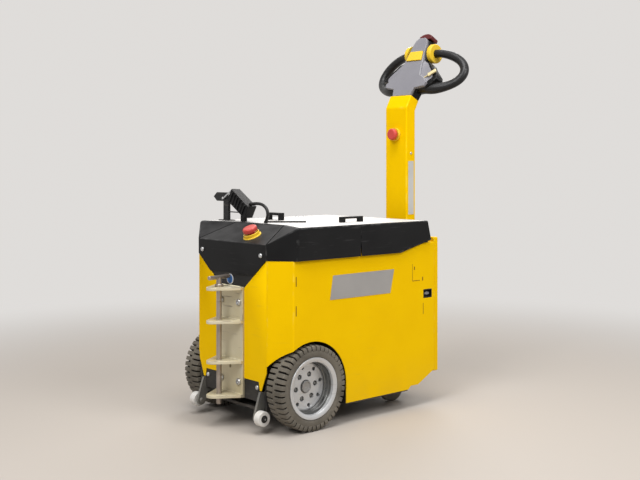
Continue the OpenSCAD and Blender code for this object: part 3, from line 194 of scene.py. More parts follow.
@dataclass(frozen=True)
class Finish:
    """One finish of the machine, from its colour down to its dust. The grain's depth is millimetres."""

    name: str
    slot: str
    colour: Colour
    second: Colour
    roughness: float
    grain: Grain
    depth: float
    metallic: float = 0.0
    gloss: float = 0.5
    patch_scale: float = 9.0
    # colour along the rounded edges: rubbed-off coat, and on the black covers painted highlight
    bare: Colour = (0.45, 0.44, 0.42)
    edge_wear_and_highlight: float = 0.0
    dust: Colour = (0.42, 0.37, 0.3)
    # share of dust near the floor and on upward faces; on the black covers it is also painted light on upward
    # faces
    dust_and_top_light_amount: float = 0.15
    dust_height: float = 0.3
    dust_roughness: float = 0.3
    marks: float = 0.0

    def material(self) -> bpy.types.Material:
        """Builds the finish as a node material.

        Returns:
            The material, ready to be assigned.
        """
        made = bpy.data.materials.new(self.name)
        made.use_nodes = True
        work = NodeWork(made.node_tree)
        patches = work.group(patches_group(), Colour=opaque(self.colour), Second=opaque(self.second),
                             Scale=self.patch_scale)
        rubbed_and_highlit = work.group(rubbed_and_highlit_edges_group(), Colour=patches.outputs["Colour"], Bare=opaque(self.bare),
                          Amount=self.edge_wear_and_highlight)
        marked = work.group(rub_marks_group(), Colour=rubbed_and_highlit.outputs["Colour"], Mark=opaque(self.dust),
                            Amount=self.marks)
        dusted_and_top_lit = work.group(dust_and_top_light_group(), Colour=marked.outputs["Colour"], Dust=opaque(self.dust),
                           Amount=self.dust_and_top_light_amount, Height=self.dust_height)
        scale, roughness, stretch = self.grain.value
        grain = work.group(fine_grain_group(), Scale=scale, Roughness=roughness, Stretch=stretch)
        bump = work.node("ShaderNodeBump", {
            "Strength": 1.0, "Distance": self.depth * MM, "Height": grain.outputs["Height"]})
        rough = work.maths("MULTIPLY_ADD", dusted_and_top_lit.outputs["Mask"], self.dust_roughness, self.roughness,
                           clamp=True)
        work.feed(made.node_tree.nodes["Principled BSDF"], {
            "Base Color": dusted_and_top_lit.outputs["Colour"], "Roughness": rough, "Metallic": self.metallic,
            "Specular IOR Level": self.gloss, "Normal": bump.outputs["Normal"]})
        return made


class GroupMaker(NodeWork):
    """Builds one shader group with named sockets."""

    def __init__(self, name: str, inputs: dict[str, str], outputs: dict[str, str]) -> None:
        """Starts a group with its sockets.

        Args:
            name: Name of the group.
            inputs: Socket kinds of the inputs by name.
            outputs: Socket kinds of the outputs by name.
        """
        super().__init__(bpy.data.node_groups.new(name, "ShaderNodeTree"))
        for way, sockets in (("INPUT", inputs), ("OUTPUT", outputs)):
            for socket, kind in sockets.items():
                self.tree.interface.new_socket(name=socket, in_out=way, socket_type=kind)
        self.given = self.node("NodeGroupInput").outputs
        self.outside = self.node("NodeGroupOutput")
        self.place = self.node("ShaderNodeTexCoord").outputs["Object"]

    def noise(self, scale: object, detail: float,
              vector: Optional[bpy.types.NodeSocket] = None) -> bpy.types.NodeSocket:
        """Adds a noise.

        Args:
            scale: Its scale, a socket or a number.
            detail: Octaves of the noise.
            vector: Coordinates to read, or None for the object's own.

        Returns:
            The noise value, from 0 to 1.
        """
        inputs = {"Vector": self.place if vector is None else vector, "Scale": scale, "Detail": detail}
        return self.node("ShaderNodeTexNoise", inputs).outputs["Fac"]

    def shared(self, first: bpy.types.NodeSocket, second: bpy.types.NodeSocket) -> bpy.types.NodeSocket:
        """Multiplies two masks with each other and with the group's amount."""
        both = self.maths("MULTIPLY", first, second, clamp=True)
        return self.maths("MULTIPLY", both, self.given["Amount"], clamp=True)

    def lay(self, over: str, mask: bpy.types.NodeSocket) -> bpy.types.NodeTree:
        """Lays one of the group's colours over its first one, and gives out the result and the mask.

        Args:
            over: Name of the colour that is laid over.
            mask: Where it lies.

        Returns:
            The finished group.
        """
        # a Mix node has its colours at the inputs 6 and 7 and at the output 2
        inputs = {0: mask, 6: self.given["Colour"], 7: self.given[over]}
        mixed = self.node("ShaderNodeMix", inputs, data_type="RGBA")
        self.feed(self.outside, {"Colour": mixed.outputs[2], "Mask": mask})
        return self.tree


@cache
def patches_group() -> bpy.types.NodeTree:
    """Large soft patches of a second colour.

    Returns:
        The shader group, built once.
    """
    group = GroupMaker("patches", {"Colour": COLOUR, "Second": COLOUR, "Scale": VALUE}, COLOUR_AND_MASK)
    patches = group.noise(group.given["Scale"], detail=6.0)
    return group.lay("Second", group.ranged(patches, low=0.35, high=0.72))


@cache
def rubbed_and_highlit_edges_group() -> bpy.types.NodeTree:
    """Coat rubbed off along the rounded edges, which the edge attribute marks. On the black covers the paler
    edge colour is painted highlight where light catches the edges.

    Returns:
        The shader group, built once.
    """
    group = GroupMaker("rubbed_and_highlit_edges", {"Colour": COLOUR, "Bare": COLOUR, "Amount": VALUE}, COLOUR_AND_MASK)
    edge = group.node("ShaderNodeAttribute", attribute_name="edge").outputs["Fac"]
    broken = group.ranged(group.noise(scale=38.0, detail=8.0), low=0.5, high=0.62)
    return group.lay("Bare", group.shared(edge, broken))


@cache
def rub_marks_group() -> bpy.types.NodeTree:
    """Thin rub marks and stains that run mostly level.

    Returns:
        The shader group, built once.
    """
    group = GroupMaker("rub_marks", {"Colour": COLOUR, "Mark": COLOUR, "Amount": VALUE}, COLOUR_AND_MASK)
    turned = group.node("ShaderNodeMapping", {
        "Vector": group.place, "Rotation": (0.2, 0.35, 0.5), "Scale": (5.0, 5.0, 60.0)})
    streaks = group.ranged(group.noise(scale=3.0, detail=10.0, vector=turned.outputs["Vector"]),
                           low=0.6, high=0.7)
    zones = group.ranged(group.noise(scale=4.0, detail=3.0), low=0.45, high=0.65)
    return group.lay("Mark", group.shared(streaks, zones))


@cache
def dust_and_top_light_group() -> bpy.types.NodeTree:
    """Dust that rises from the floor and lies on upward faces. On the black covers its pale grey on upward
    faces is also painted light on the upward fascia.

    Returns:
        The shader group, built once.
    """
    inputs = {"Colour": COLOUR, "Dust": COLOUR, "Amount": VALUE, "Height": VALUE}
    group = GroupMaker("dust_and_top_light", inputs, COLOUR_AND_MASK)
    place = group.node("ShaderNodeSeparateXYZ", {0: group.place})
    share = group.maths("DIVIDE", place.outputs["Z"], group.given["Height"])
    rising = group.ranged(share, low=1.0, high=0.0, interpolation="SMOOTHSTEP")
    facing = group.node("ShaderNodeSeparateXYZ", {0: group.node("ShaderNodeNewGeometry").outputs["Normal"]})
    facing_up = group.ranged(facing.outputs["Z"], low=0.5, high=1.6)
    broken = group.ranged(group.noise(scale=16.0, detail=9.0), low=0.28, high=0.75)
    return group.lay("Dust", group.shared(group.maths("MAXIMUM", rising, facing_up), broken))


@cache
def fine_grain_group() -> bpy.types.NodeTree:
    """Fine relief with its own scale, roughness and stretch.

    Returns:
        The shader group, built once.
    """
    inputs = {"Scale": VALUE, "Roughness": VALUE, "Stretch": VECTOR}
    group = GroupMaker("fine_grain", inputs, {"Height": VALUE})
    given = group.given
    stretched = group.node("ShaderNodeVectorMath", {0: group.place, 1: given["Stretch"]},
                           operation="MULTIPLY")
    noise = group.node("ShaderNodeTexNoise", {
        "Vector": stretched.outputs[0], "Scale": given["Scale"], "Roughness": given["Roughness"],
        "Detail": 4.0})
    group.feed(group.outside, {"Height": noise.outputs["Fac"]})
    return group.tree


YELLOW_COAT = Finish("yellow_powder_coat", "yellow_paint", (0.89, 0.55, 0.0), (0.86, 0.52, 0.0), 0.4,
                     Grain.PAINT, 0.1, gloss=0.04, bare=(0.95, 0.72, 0.1), edge_wear_and_highlight=0.25,
                     dust=(0.5, 0.33, 0.06), dust_and_top_light_amount=0.2, dust_height=0.2, marks=0.15)
# dark marks on the side sheet: painted shade of the slits by the fold, and scratches near the latch
SCRATCH_AND_SLIT_SHADE_COAT = Finish("scratched_and_slit_shade_yellow", "yellow_paint", (0.3, 0.15, 0.01), (0.2, 0.1, 0.01), 0.6,
                     Grain.PAINT, 0.1, gloss=0.1, dust_and_top_light_amount=0.1)
BLACK_COAT = Finish("black_powder_coat", "black_paint", (0.014, 0.014, 0.015), (0.022, 0.021, 0.021), 0.5,
                    Grain.PAINT, 0.12, gloss=0.25, edge_wear_and_highlight=0.4, bare=(0.16, 0.16, 0.16), dust_and_top_light_amount=0.2,
                    dust_height=0.2, marks=0.2)
# the pale grey dust on the covers' upward faces is also painted light on the upward fascia
# the paler edge colour of the black covers is painted highlight along their edges
COVER_PLASTIC = Finish("black_cover_moulding", "black_plastic", (0.006, 0.006, 0.0065),
                       (0.01, 0.01, 0.0105), 0.45, Grain.MOULDED, 0.05, gloss=0.14, edge_wear_and_highlight=0.4,
                       bare=(0.09, 0.09, 0.09), dust=(0.34, 0.33, 0.33), dust_and_top_light_amount=0.3, dust_height=0.1,
                       marks=0.07)
SMALL_PLASTIC = Finish("black_housing_plastic", "black_plastic", (0.004, 0.004, 0.0045),
                       (0.007, 0.007, 0.007), 0.36, Grain.MOULDED, 0.03, gloss=0.14, edge_wear_and_highlight=0.3,
                       bare=(0.12, 0.12, 0.12), dust_and_top_light_amount=0.25, dust_height=0.1, marks=0.2)
DECK_SKIN = Finish("pale_deck_skin", "deck_laminate", (0.74, 0.71, 0.68), (0.66, 0.63, 0.6), 0.5,
                   Grain.MOULDED, 0.04, patch_scale=5.0, edge_wear_and_highlight=0.3, bare=(0.3, 0.29, 0.28),
                   dust=(0.5, 0.47, 0.43), dust_and_top_light_amount=0.3, marks=0.4)
ZINC = Finish("zinc_plated_steel", "zinc_steel", (0.56, 0.57, 0.58), (0.46, 0.46, 0.46), 0.3, Grain.TURNED,
              0.02, metallic=0.85, edge_wear_and_highlight=0.3, bare=(0.2, 0.18, 0.16), marks=0.3)
ARM_STEEL = Finish("grey_arm_steel", "arm_steel", (0.2, 0.2, 0.19), (0.15, 0.15, 0.14), 0.42, Grain.ROLLED,
                   0.08, metallic=0.5, edge_wear_and_highlight=0.6, bare=(0.4, 0.39, 0.37), dust_and_top_light_amount=0.35, dust_height=0.2,
                   marks=0.5)
HITCH_STEEL = Finish("warm_zinc_hitch_steel", "hitch_steel", (0.68, 0.63, 0.47), (0.6, 0.53, 0.35), 0.42,
                     Grain.ROLLED, 0.06, metallic=0.3, edge_wear_and_highlight=0.8, bare=(0.2, 0.15, 0.1),
                     dust=(0.2, 0.15, 0.1), dust_and_top_light_amount=0.4, dust_height=0.25, marks=0.9)
PIN_STEEL = Finish("greased_pin_steel", "hitch_steel", (0.42, 0.37, 0.33), (0.3, 0.25, 0.21), 0.3,
                   Grain.TURNED, 0.03, metallic=0.7, patch_scale=20.0, edge_wear_and_highlight=0.5, bare=(0.6, 0.57, 0.52),
                   dust=(0.12, 0.1, 0.08), dust_and_top_light_amount=0.25, marks=0.6)
TYRE = Finish("dusty_solid_tyre", "tyre_rubber", (0.092, 0.082, 0.066), (0.15, 0.134, 0.106), 0.8,
              Grain.RUBBER, 0.3, gloss=0.2, patch_scale=14.0, edge_wear_and_highlight=0.6, bare=(0.28, 0.255, 0.22),
              dust=(0.3, 0.27, 0.23), dust_and_top_light_amount=0.4, dust_height=0.5, marks=0.3)
# near black bottom of the tread grooves: painted shade in the grooves
GROOVE_SHADE_RUBBER = Finish("groove_painted_shade_rubber", "tyre_rubber", (0.012, 0.01, 0.009), (0.022, 0.019, 0.016),
                       0.85, Grain.RUBBER, 0.2, gloss=0.15, patch_scale=14.0, dust_and_top_light_amount=0.0)
RIM_SILVER = Finish("silver_rim_paint", "rim_silver", (0.62, 0.63, 0.64), (0.53, 0.54, 0.55), 0.28,
                    Grain.CAST, 0.08, metallic=0.55, edge_wear_and_highlight=0.5, bare=(0.28, 0.26, 0.24),
                    dust=(0.3, 0.28, 0.26), dust_and_top_light_amount=0.3, dust_height=0.3, marks=0.4)
# darker silver for the rim's barrel and the wheel bolts: painted shade inside the barrel and in the bolts'
# recesses
RIM_SHADE = Finish("rim_painted_shade", "rim_silver", (0.2, 0.205, 0.2), (0.1, 0.1, 0.1), 0.26, Grain.TURNED,
                   0.05, metallic=0.75, patch_scale=12.0, dust=(0.16, 0.15, 0.13), dust_and_top_light_amount=0.3,
                   marks=0.5)
HUB_STEEL = Finish("machined_hub_steel", "hub_steel", (0.36, 0.36, 0.36), (0.25, 0.25, 0.25), 0.34,
                   Grain.TURNED, 0.04, metallic=0.7, edge_wear_and_highlight=0.5, bare=(0.2, 0.17, 0.14), dust_and_top_light_amount=0.3,
                   marks=0.4)
# near black: painted shade in the bolts' seats and in the gap round the hub cap; on the rollers it is the
# black hub's own colour
HUB_BLACK_AND_SEAT_SHADE = Finish("socket_painted_shade_and_black_hub", "hub_steel", (0.012, 0.012, 0.012), (0.02, 0.02, 0.02), 0.6,
                      Grain.CAST, 0.05, gloss=0.2, dust_and_top_light_amount=0.05)
CAST_ALLOY = Finish("cast_alloy_housing", "cast_alloy", (0.42, 0.43, 0.44), (0.36, 0.37, 0.37), 0.5,
                    Grain.CAST, 0.25, metallic=0.7, edge_wear_and_highlight=0.4, dust_and_top_light_amount=0.3)
NYLON = Finish("white_roller_nylon", "roller_nylon", (0.78, 0.76, 0.73), (0.66, 0.64, 0.6), 0.42,
               Grain.TURNED, 0.05, edge_wear_and_highlight=0.4, bare=(0.4, 0.37, 0.32), dust=(0.3, 0.28, 0.25),
               dust_and_top_light_amount=0.3, dust_height=0.06, marks=0.5)
BATTERY = Finish("battery_case_plastic", "battery_case", (0.06, 0.065, 0.075), (0.08, 0.085, 0.095), 0.4,
                 Grain.MOULDED, 0.04, dust_and_top_light_amount=0.3)
RED_PLASTIC = Finish("red_button_plastic", "red_plastic", (0.55, 0.06, 0.045), (0.46, 0.045, 0.035), 0.4,
                     Grain.MOULDED, 0.015, gloss=0.4, edge_wear_and_highlight=0.3, bare=(0.65, 0.3, 0.26),
                     dust=(0.8, 0.5, 0.45), dust_and_top_light_amount=0.5, dust_height=0.1)
# red button plastic made darker than the stops' red: painted shade on the thin strip of the belly button that
# shows
SHADED_RED_PLASTIC = Finish("belly_red_painted_shade_plastic", "red_plastic", (0.1, 0.008, 0.008), (0.07, 0.006, 0.006),
                        0.4, Grain.MOULDED, 0.02, gloss=0.35, dust=(0.5, 0.3, 0.28), dust_and_top_light_amount=0.15,
                        dust_height=0.1)
YELLOW_PLASTIC = Finish("yellow_button_plastic", "yellow_plastic", (0.8, 0.53, 0.03), (0.74, 0.47, 0.025),
                        0.36, Grain.MOULDED, 0.02, gloss=0.3, edge_wear_and_highlight=0.3, bare=(0.85, 0.7, 0.3),
                        dust_and_top_light_amount=0.12, dust_height=0.1)
CREAM_PLASTIC = Finish("cream_rocker_plastic", "cream_plastic", (0.74, 0.62, 0.34), (0.68, 0.56, 0.3), 0.4,
                       Grain.MOULDED, 0.02, dust_and_top_light_amount=0.12)
GREY_PLASTIC = Finish("grey_face_moulding", "grey_plastic", (0.235, 0.23, 0.25), (0.2, 0.195, 0.215), 0.5,
                      Grain.MOULDED, 0.05, gloss=0.3, edge_wear_and_highlight=0.4, bare=(0.4, 0.4, 0.41), dust_and_top_light_amount=0.15,
                      marks=0.2)
PLATE_METAL = Finish("bare_silver_plate", "plate_metal", (0.4, 0.385, 0.37), (0.35, 0.34, 0.33), 0.36,
                     Grain.BRUSHED, 0.015, metallic=0.5, dust_and_top_light_amount=0.12, marks=0.15)
PALE_STRIP = Finish("pale_strip_film", "strip_pale", (0.55, 0.55, 0.54), (0.48, 0.48, 0.47), 0.4,
                    Grain.MOULDED, 0.01, dust_and_top_light_amount=0.1)
BLUE_ENAMEL = Finish("blue_disc_enamel", "blue_enamel", (0.012, 0.12, 0.4), (0.012, 0.11, 0.37), 0.3,
                     Grain.MOULDED, 0.01, gloss=0.3, dust_and_top_light_amount=0.12)
WHITE_ENAMEL = Finish("white_rim_enamel", "blue_enamel", (0.75, 0.76, 0.77), (0.7, 0.7, 0.71), 0.3,
                      Grain.MOULDED, 0.01, dust_and_top_light_amount=0.15)
CABLE = Finish("black_cable_jacket", "cable_rubber", (0.009, 0.009, 0.009), (0.015, 0.015, 0.015), 0.42,
               Grain.RUBBER, 0.02, gloss=0.3, dust_and_top_light_amount=0.15, dust_height=0.1)
GRIP = Finish("black_handle_rubber", "grip_rubber", (0.004, 0.004, 0.0045), (0.007, 0.007, 0.0075), 0.4,
              Grain.RUBBER, 0.05, gloss=0.35, patch_scale=16.0, dust=(0.45, 0.45, 0.46), dust_and_top_light_amount=0.15,
              dust_height=0.1, marks=0.1)
SEAM_SHADE = Finish("dark_seam_shade", "black_plastic", (0.001, 0.001, 0.001), (0.003, 0.003, 0.003), 0.7,
                    Grain.MOULDED, 0.01, gloss=0.05, dust_and_top_light_amount=0.0)


@dataclass(frozen=True)
class Rounding:
    """How a node of the frame is dressed: its finish and the radii of its edges and outer corners."""

    node: str
    finish: Finish
    edge: float
    corner: float = 0.0


class Workshop:
    """Holds the frame, and rounds, turns and dresses pieces."""

    def __init__(self, frame: dict) -> None:
        """Keeps the frame, finds the drive axle and starts with no materials.
        """
        self.nodes: dict[str, bpy.types.Object] = frame["nodes"]
        bodies = frame["record"]["behaviour"]["bodies"]
        self.bodies = {node: body for body, members in bodies.items() for node in members}
        self.materials: dict[str, bpy.types.Material] = {}
        low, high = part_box("tyre_right")
        self.axle_y = (low.y + high.y) / 2

    def place(self, x: float, y: float, z: float) -> Vector:
        """Turns millimetres about the drive axle's line on the floor into a place in the frame."""
        return Vector((x * MM, y * MM + self.axle_y, z * MM))

    def coat(self, piece: bpy.types.Object, finish: Finish) -> bpy.types.Material:
        """Assigns a finish to the whole piece.

        Args:
            piece: The object to dress.
            finish: The finish it takes.

        Returns:
            The finish's material.
        """
        if finish.name not in self.materials:
            self.materials[finish.name] = finish.material()
        material = self.materials[finish.name]
        if len(piece.material_slots) == 0:
            piece.data.materials.append(material)
        for held in piece.material_slots:
            held.material = material
        return material

    def add(self, piece: bpy.types.Object, finish: Finish, node: str, replaces: bool = True) -> None:
        """Dresses a new piece and fixes it on the body of a node.

        Args:
            piece: The new piece.
            finish: Its finish.
            node: Node of the frame that it moves with.
            replaces: Whether it stands for that node, or only lies on it.
        """
        self.coat(piece, finish)
        body = self.bodies[node]
        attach(piece, body)
        if replaces:
            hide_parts(node)
        log.info("%s rides on %s", piece.name, body)

    def rounded(self, parts: Sequence[Rounding], suffix: str = "") -> None:
        """Replaces nodes of the frame by copies with rounded edges.

        Args:
            parts: The nodes, with their finishes and radii.
            suffix: End of the nodes' names that the parts leave out.
        """
        for part in parts:
            node = part.node + suffix
            shape = bmesh.new()
            shape.from_mesh(self.nodes[node].data)
            bmesh.ops.remove_doubles(shape, verts=shape.verts, dist=MERGE_DISTANCE)
            bmesh.ops.dissolve_limit(shape, angle_limit=math.radians(FLAT_ANGLE), verts=shape.verts,
                                     edges=shape.edges)
            shape.faces.layers.float.new("edge")
            if part.corner > 0:
                corners = [e for e in shape.edges if is_sharp(e, CORNER_ANGLE) and e.is_convex
                           and min(f.calc_area() for f in e.link_faces) > LARGE_FACE]
                bevel_edges(shape, corners, part.corner, CORNER_STEPS)
            bevel_edges(shape, [e for e in shape.edges if is_sharp(e, EDGE_ANGLE)], part.edge, EDGE_STEPS)
            piece = linked(kept_mesh(node + "_rounded", shape))
            smooth_faces(piece, 50)
            self.add(piece, part.finish, node)

    def turned(self, name: str, outline: Outline, place: Matrix, finish: Finish, node: str,
               replaces: bool = True, steps: int = 64, cut: Optional[bpy.types.Mesh] = None) -> None:
        """Makes one piece that is turned about an axis.

        Args:
            name: Name of the piece.
            outline: Its points as radius and height.
            place: Placement of the axis, which is Z before it.
            finish: Its finish.
            node: Node of the frame that it moves with.
            replaces: Whether it stands for that node, or only lies on it.
            steps: Faces round the axis.
            cut: Mesh about the same axis that is cut out of it.
        """
        piece = linked(turned_mesh(name, outline, steps))
        if cut is not None:
            tool = linked(cut)
            boolean = piece.modifiers.new("cut", "BOOLEAN")
            boolean.object = tool
            boolean.solver = "EXACT"
            settle(piece)
            bpy.data.objects.remove(tool)
        piece.data.transform(place)
        smooth_faces(piece)
        self.add(piece, finish, node, replaces)


def is_sharp(edge: bmesh.types.BMEdge, degrees: float) -> bool:
    """Tells whether an edge turns by more than an angle between its two faces."""
    return len(edge.link_faces) == 2 and edge.calc_face_angle(0.0) > math.radians(degrees)


def bevel_edges(shape: bmesh.types.BMesh, edges: Iterable[bmesh.types.BMEdge], radius: float,
                steps: int) -> None:
    """Rounds edges and marks the new faces in the face layer named edge.

    Args:
        shape: The shape to change, which has that layer.
        edges: The edges to round.
        radius: Radius of the rounding, in millimetres.
        steps: Faces across the rounding.
    """
    made = bmesh.ops.bevel(shape, geom=list(edges), offset=radius * MM, offset_type="OFFSET", segments=steps,
                           profile=0.5, affect="EDGES", clamp_overlap=False)
    marked = shape.faces.layers.float["edge"]
    for face in made["faces"]:
        face[marked] = 1.0


def add_block(shape: bmesh.types.BMesh, middle: Vector, size: Point) -> None:
    """Adds a block to a shape, with its middle in metres and its size in millimetres."""
    place = Matrix.Translation(middle) @ Matrix.Diagonal((*(Vector(size) * MM), 1.0))
    bmesh.ops.create_cube(shape, size=1.0, matrix=place)


def kept_mesh(name: str, shape: bmesh.types.BMesh) -> bpy.types.Mesh:
    """Turns a working shape into a mesh and frees the shape.

    Args:
        name: Name of the mesh.
        shape: The working shape.

    Returns:
        The mesh.
    """
    mesh = bpy.data.meshes.new(name)
    shape.to_mesh(mesh)
    shape.free()
    return mesh


def linked(mesh: bpy.types.Mesh) -> bpy.types.Object:
    """Makes an object named like its mesh and links it to the scene.

    Args:
        mesh: The mesh.

    Returns:
        The object.
    """
    piece = bpy.data.objects.new(mesh.name, mesh)
    bpy.context.scene.collection.objects.link(piece)
    return piece


def smooth_faces(piece: bpy.types.Object, sharp: float = 40.0) -> None:
    """Shades a piece smooth with flat large faces.

    Args:
        piece: The piece to shade.
        sharp: Angle from which an edge stays sharp, in degrees.
    """
    piece.data.shade_smooth()
    piece.data.set_sharp_from_angle(angle=math.radians(sharp))
    weighted = piece.modifiers.new("weighted", "WEIGHTED_NORMAL")
    weighted.keep_sharp = True
    settle(piece)


def settle(piece: bpy.types.Object) -> None:
    """Turns a piece with live modifiers into a plain mesh.

    Args:
        piece: The piece, which keeps its name.
    """
    graph = bpy.context.evaluated_depsgraph_get()
    done = bpy.data.meshes.new_from_object(piece.evaluated_get(graph), depsgraph=graph)
    piece.modifiers.clear()
    old = piece.data
    piece.data = done
    bpy.data.meshes.remove(old)
    done.name = piece.name


def turned_mesh(name: str, outline: Outline, steps: int) -> bpy.types.Mesh:
    """Turns an outline about Z. It is closed, or begins and ends at the axis.

    Args:
        name: Name of the mesh.
        outline: Its points as radius and height, in millimetres.
        steps: Faces round the axis.

    Returns:
        A closed mesh about the Z axis, in metres.
    """
    shape = bmesh.new()
    rings = []
    for radius, height in outline:
        turns = [TURN * i / steps for i in range(steps)] if radius > 0 else [0.0]
        rings.append([shape.verts.new((radius * MM * math.cos(turn), radius * MM * math.sin(turn),
                                       height * MM)) for turn in turns])
    closed = outline[0][0] > 0
    for k in range(len(rings) if closed else len(rings) - 1):
        low, high = rings[k], rings[(k + 1) % len(rings)]
        for i in range(steps):
            j = (i + 1) % steps
            corners = [low[i % len(low)], low[j % len(low)], high[j % len(high)], high[i % len(high)]]
            unique = list(dict.fromkeys(corners))
            if len(unique) > 2:
                shape.faces.new(unique)
    bmesh.ops.recalc_face_normals(shape, faces=shape.faces)
    return kept_mesh(name, shape)


def arc(radius: float, height: float, reach: float, degrees: Iterable[int]) -> list[tuple[float, float]]:
    """Points of an outline's arc of radius reach about a centre, one for each angle."""
    return [(radius + reach * math.cos(math.radians(a)), height + reach * math.sin(math.radians(a)))
            for a in degrees]


def head_outline(radius: float, height: float, edge: float) -> list[tuple[float, float]]:
    """Outline of a screw or button head that stands on z = 0, with a rounded edge."""
    corner = arc(radius - edge, height - edge, edge, range(0, 91, 15))
    return [(0.0, 0.0), (radius, 0.0), *corner, (0.0, height)]


class ShapeTree(NodeWork):
    """A Geometry Nodes tree with named inputs that is run once into a plain mesh."""

    def __init__(self, name: str, takes: dict[str, str]) -> None:
        """Starts a tree that takes a geometry, the finish of its result and its named inputs.

        Args:
            name: Name of the tree.
            takes: Socket kinds of its named inputs.
        """
        super().__init__(bpy.data.node_groups.new(name, "GeometryNodeTree"))
        face = self.tree.interface
        face.new_socket(name="Geometry", in_out="OUTPUT", socket_type=GEOMETRY)
        face.new_socket(name="Geometry", in_out="INPUT", socket_type=GEOMETRY)
        self.keys = {}
        for socket, kind in {"Finish": "NodeSocketMaterial", **takes}.items():
            self.keys[socket] = face.new_socket(name=socket, in_out="INPUT", socket_type=kind).identifier
        self.given = self.node("NodeGroupInput").outputs
        self.outside = self.node("NodeGroupOutput")

    def ends_with(self, geometry: bpy.types.NodeSocket) -> None:
        """Closes the tree: instances become real and take the finish.

        Args:
            geometry: Socket of the tree's last geometry.
        """
        real = self.node("GeometryNodeRealizeInstances", {"Geometry": geometry})
        dressed = self.node("GeometryNodeSetMaterial", {
            "Geometry": real.outputs["Geometry"], "Material": self.given["Finish"]})
        self.feed(self.outside, {0: dressed.outputs["Geometry"]})

    def run(self, shop: Workshop, piece: bpy.types.Object, finish: Finish, **values: object) -> None:
        """Runs the tree on a piece and keeps the result as its mesh.

        Args:
            shop: The workshop that dresses.
            piece: The piece whose mesh goes in.
            finish: Finish of the result.
            **values: Values of the named inputs.
        """
        values["Finish"] = shop.coat(piece, finish)
        modifier = piece.modifiers.new(self.tree.name, "NODES")
        modifier.node_group = self.tree
        for name, value in values.items():
            modifier[self.keys[name]] = value
        settle(piece)


def ring_tree() -> ShapeTree:
    """Copies of a shape turned about Z, which are then turned and put in place together.

    Returns:
        The tree, with the inputs Count, Phase, Turn and Place.
    """
    tree = ShapeTree("copies_round_ring", {"Count": WHOLE, "Phase": VALUE, "Turn": VECTOR, "Place": VECTOR})
    given = tree.given
    step = tree.maths("DIVIDE", TURN, given["Count"])
    index = tree.node("GeometryNodeInputIndex").outputs[0]
    angle = tree.maths("MULTIPLY_ADD", index, step, given["Phase"])
    rotation = tree.node("ShaderNodeCombineXYZ", {"Z": angle})
    points = tree.node("GeometryNodePoints", {"Count": given["Count"]})
    copies = tree.node("GeometryNodeInstanceOnPoints", {
        "Points": points.outputs[0], "Instance": given["Geometry"], "Rotation": rotation.outputs[0]})
    moved = tree.node("GeometryNodeTransform", {
        "Geometry": copies.outputs[0], "Rotation": given["Turn"], "Translation": given["Place"]})
    tree.ends_with(moved.outputs[0])
    return tree


def row_tree() -> ShapeTree:
    """Copies of a shape in a row.

    Returns:
        The tree, with the inputs Count, Start and Step.
    """
    tree = ShapeTree("copies_in_row", {"Count": WHOLE, "Start": VECTOR, "Step": VECTOR})
    given = tree.given
    line = tree.node("GeometryNodeMeshLine", {
        "Count": given["Count"], "Start Location": given["Start"], "Offset": given["Step"]}, mode="OFFSET")
    copies = tree.node("GeometryNodeInstanceOnPoints", {
        "Points": line.outputs[0], "Instance": given["Geometry"]})
    tree.ends_with(copies.outputs[0])
    return tree


def sweep_tree() -> ShapeTree:
    """A round section swept along the edges of a path, thicker where its swell attribute is above 0.

    Returns:
        The tree, with the inputs Radius and Sides.
    """
    tree = ShapeTree("round_sweep", {"Radius": VALUE, "Sides": WHOLE})
    given = tree.given
    path = tree.node("GeometryNodeMeshToCurve", {0: given["Geometry"]})
    swell = tree.node("GeometryNodeInputNamedAttribute", {"Name": "swell"}, data_type="FLOAT")
    section = tree.node("GeometryNodeCurvePrimitiveCircle", {
        "Resolution": given["Sides"], "Radius": given["Radius"]}, mode="RADIUS")
    swept = tree.node("GeometryNodeCurveToMesh", {
        "Curve": path.outputs[0], "Profile Curve": section.outputs[0], "Fill Caps": True,
        "Scale": tree.maths("ADD", swell.outputs["Attribute"], 1.0)})
    smooth = tree.node("GeometryNodeSetShadeSmooth", {"Geometry": swept.outputs[0]})
    tree.ends_with(smooth.outputs[0])
    return tree


def smooth_path(points: Sequence[Vector], steps: int) -> list[Vector]:
    """Runs a smooth curve through points.

    Args:
        points: The points to pass.
        steps: Pieces between one point and the next.

    Returns:
        The points of the curve, ends included.
    """
    path = []
    for i in range(len(points) - 1):
        before = points[max(i - 1, 0)]
        here, there = points[i], points[i + 1]
        after = points[min(i + 2, len(points) - 1)]
        for k in range(steps):
            t = k / steps
            path.append(0.5 * (2 * here + (there - before) * t
                               + (2 * before - 5 * here + 4 * there - after) * t ** 2
                               + (3 * here - before - 3 * there + after) * t ** 3))
    path.append(points[-1].copy())
    return path


def path_piece(name: str, path: Sequence[Vector], swell: Sequence[float] = ()) -> bpy.types.Object:
    """Makes an object whose mesh is the edges of one path.

    Args:
        name: Name of the object.
        path: The points of the path.
        swell: Share by which the section grows at each point.

    Returns:
        The object.
    """
    mesh = bpy.data.meshes.new(name)
    mesh.from_pydata([tuple(p) for p in path], [(i, i + 1) for i in range(len(path) - 1)], [])
    if swell:
        held = mesh.attributes.new("swell", "FLOAT", "POINT")
        held.data.foreach_set("value", swell)
    return linked(mesh)


def between(value: float, known: Outline) -> float:
    """Reads a value off a rising list of places and values, straight between them.

    Args:
        value: The place to read at.
        known: Places and their values, in rising order of place.

    Returns:
        The value there, level beyond both ends.
    """
    if value <= known[0][0]:
        return known[0][1]
    for (low, first), (high, last) in zip(known, known[1:]):
        if value <= high:
            return first + (last - first) * (value - low) / (high - low)
    return known[-1][1]


def on_axle(node: str, sign: float) -> Matrix:
    """Placement that turns a mesh about Z onto a wheel's axle, with Z outwards.

    Args:
        node: Node of the frame in whose middle the wheel has its own.
        sign: 1 on the right side of the machine, -1 on the left one.

    Returns:
        The placement.
    """
    low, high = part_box(node)
    return Matrix.Translation((low + high) / 2) @ Matrix.Rotation(sign * TURN / 4, 4, "Y")


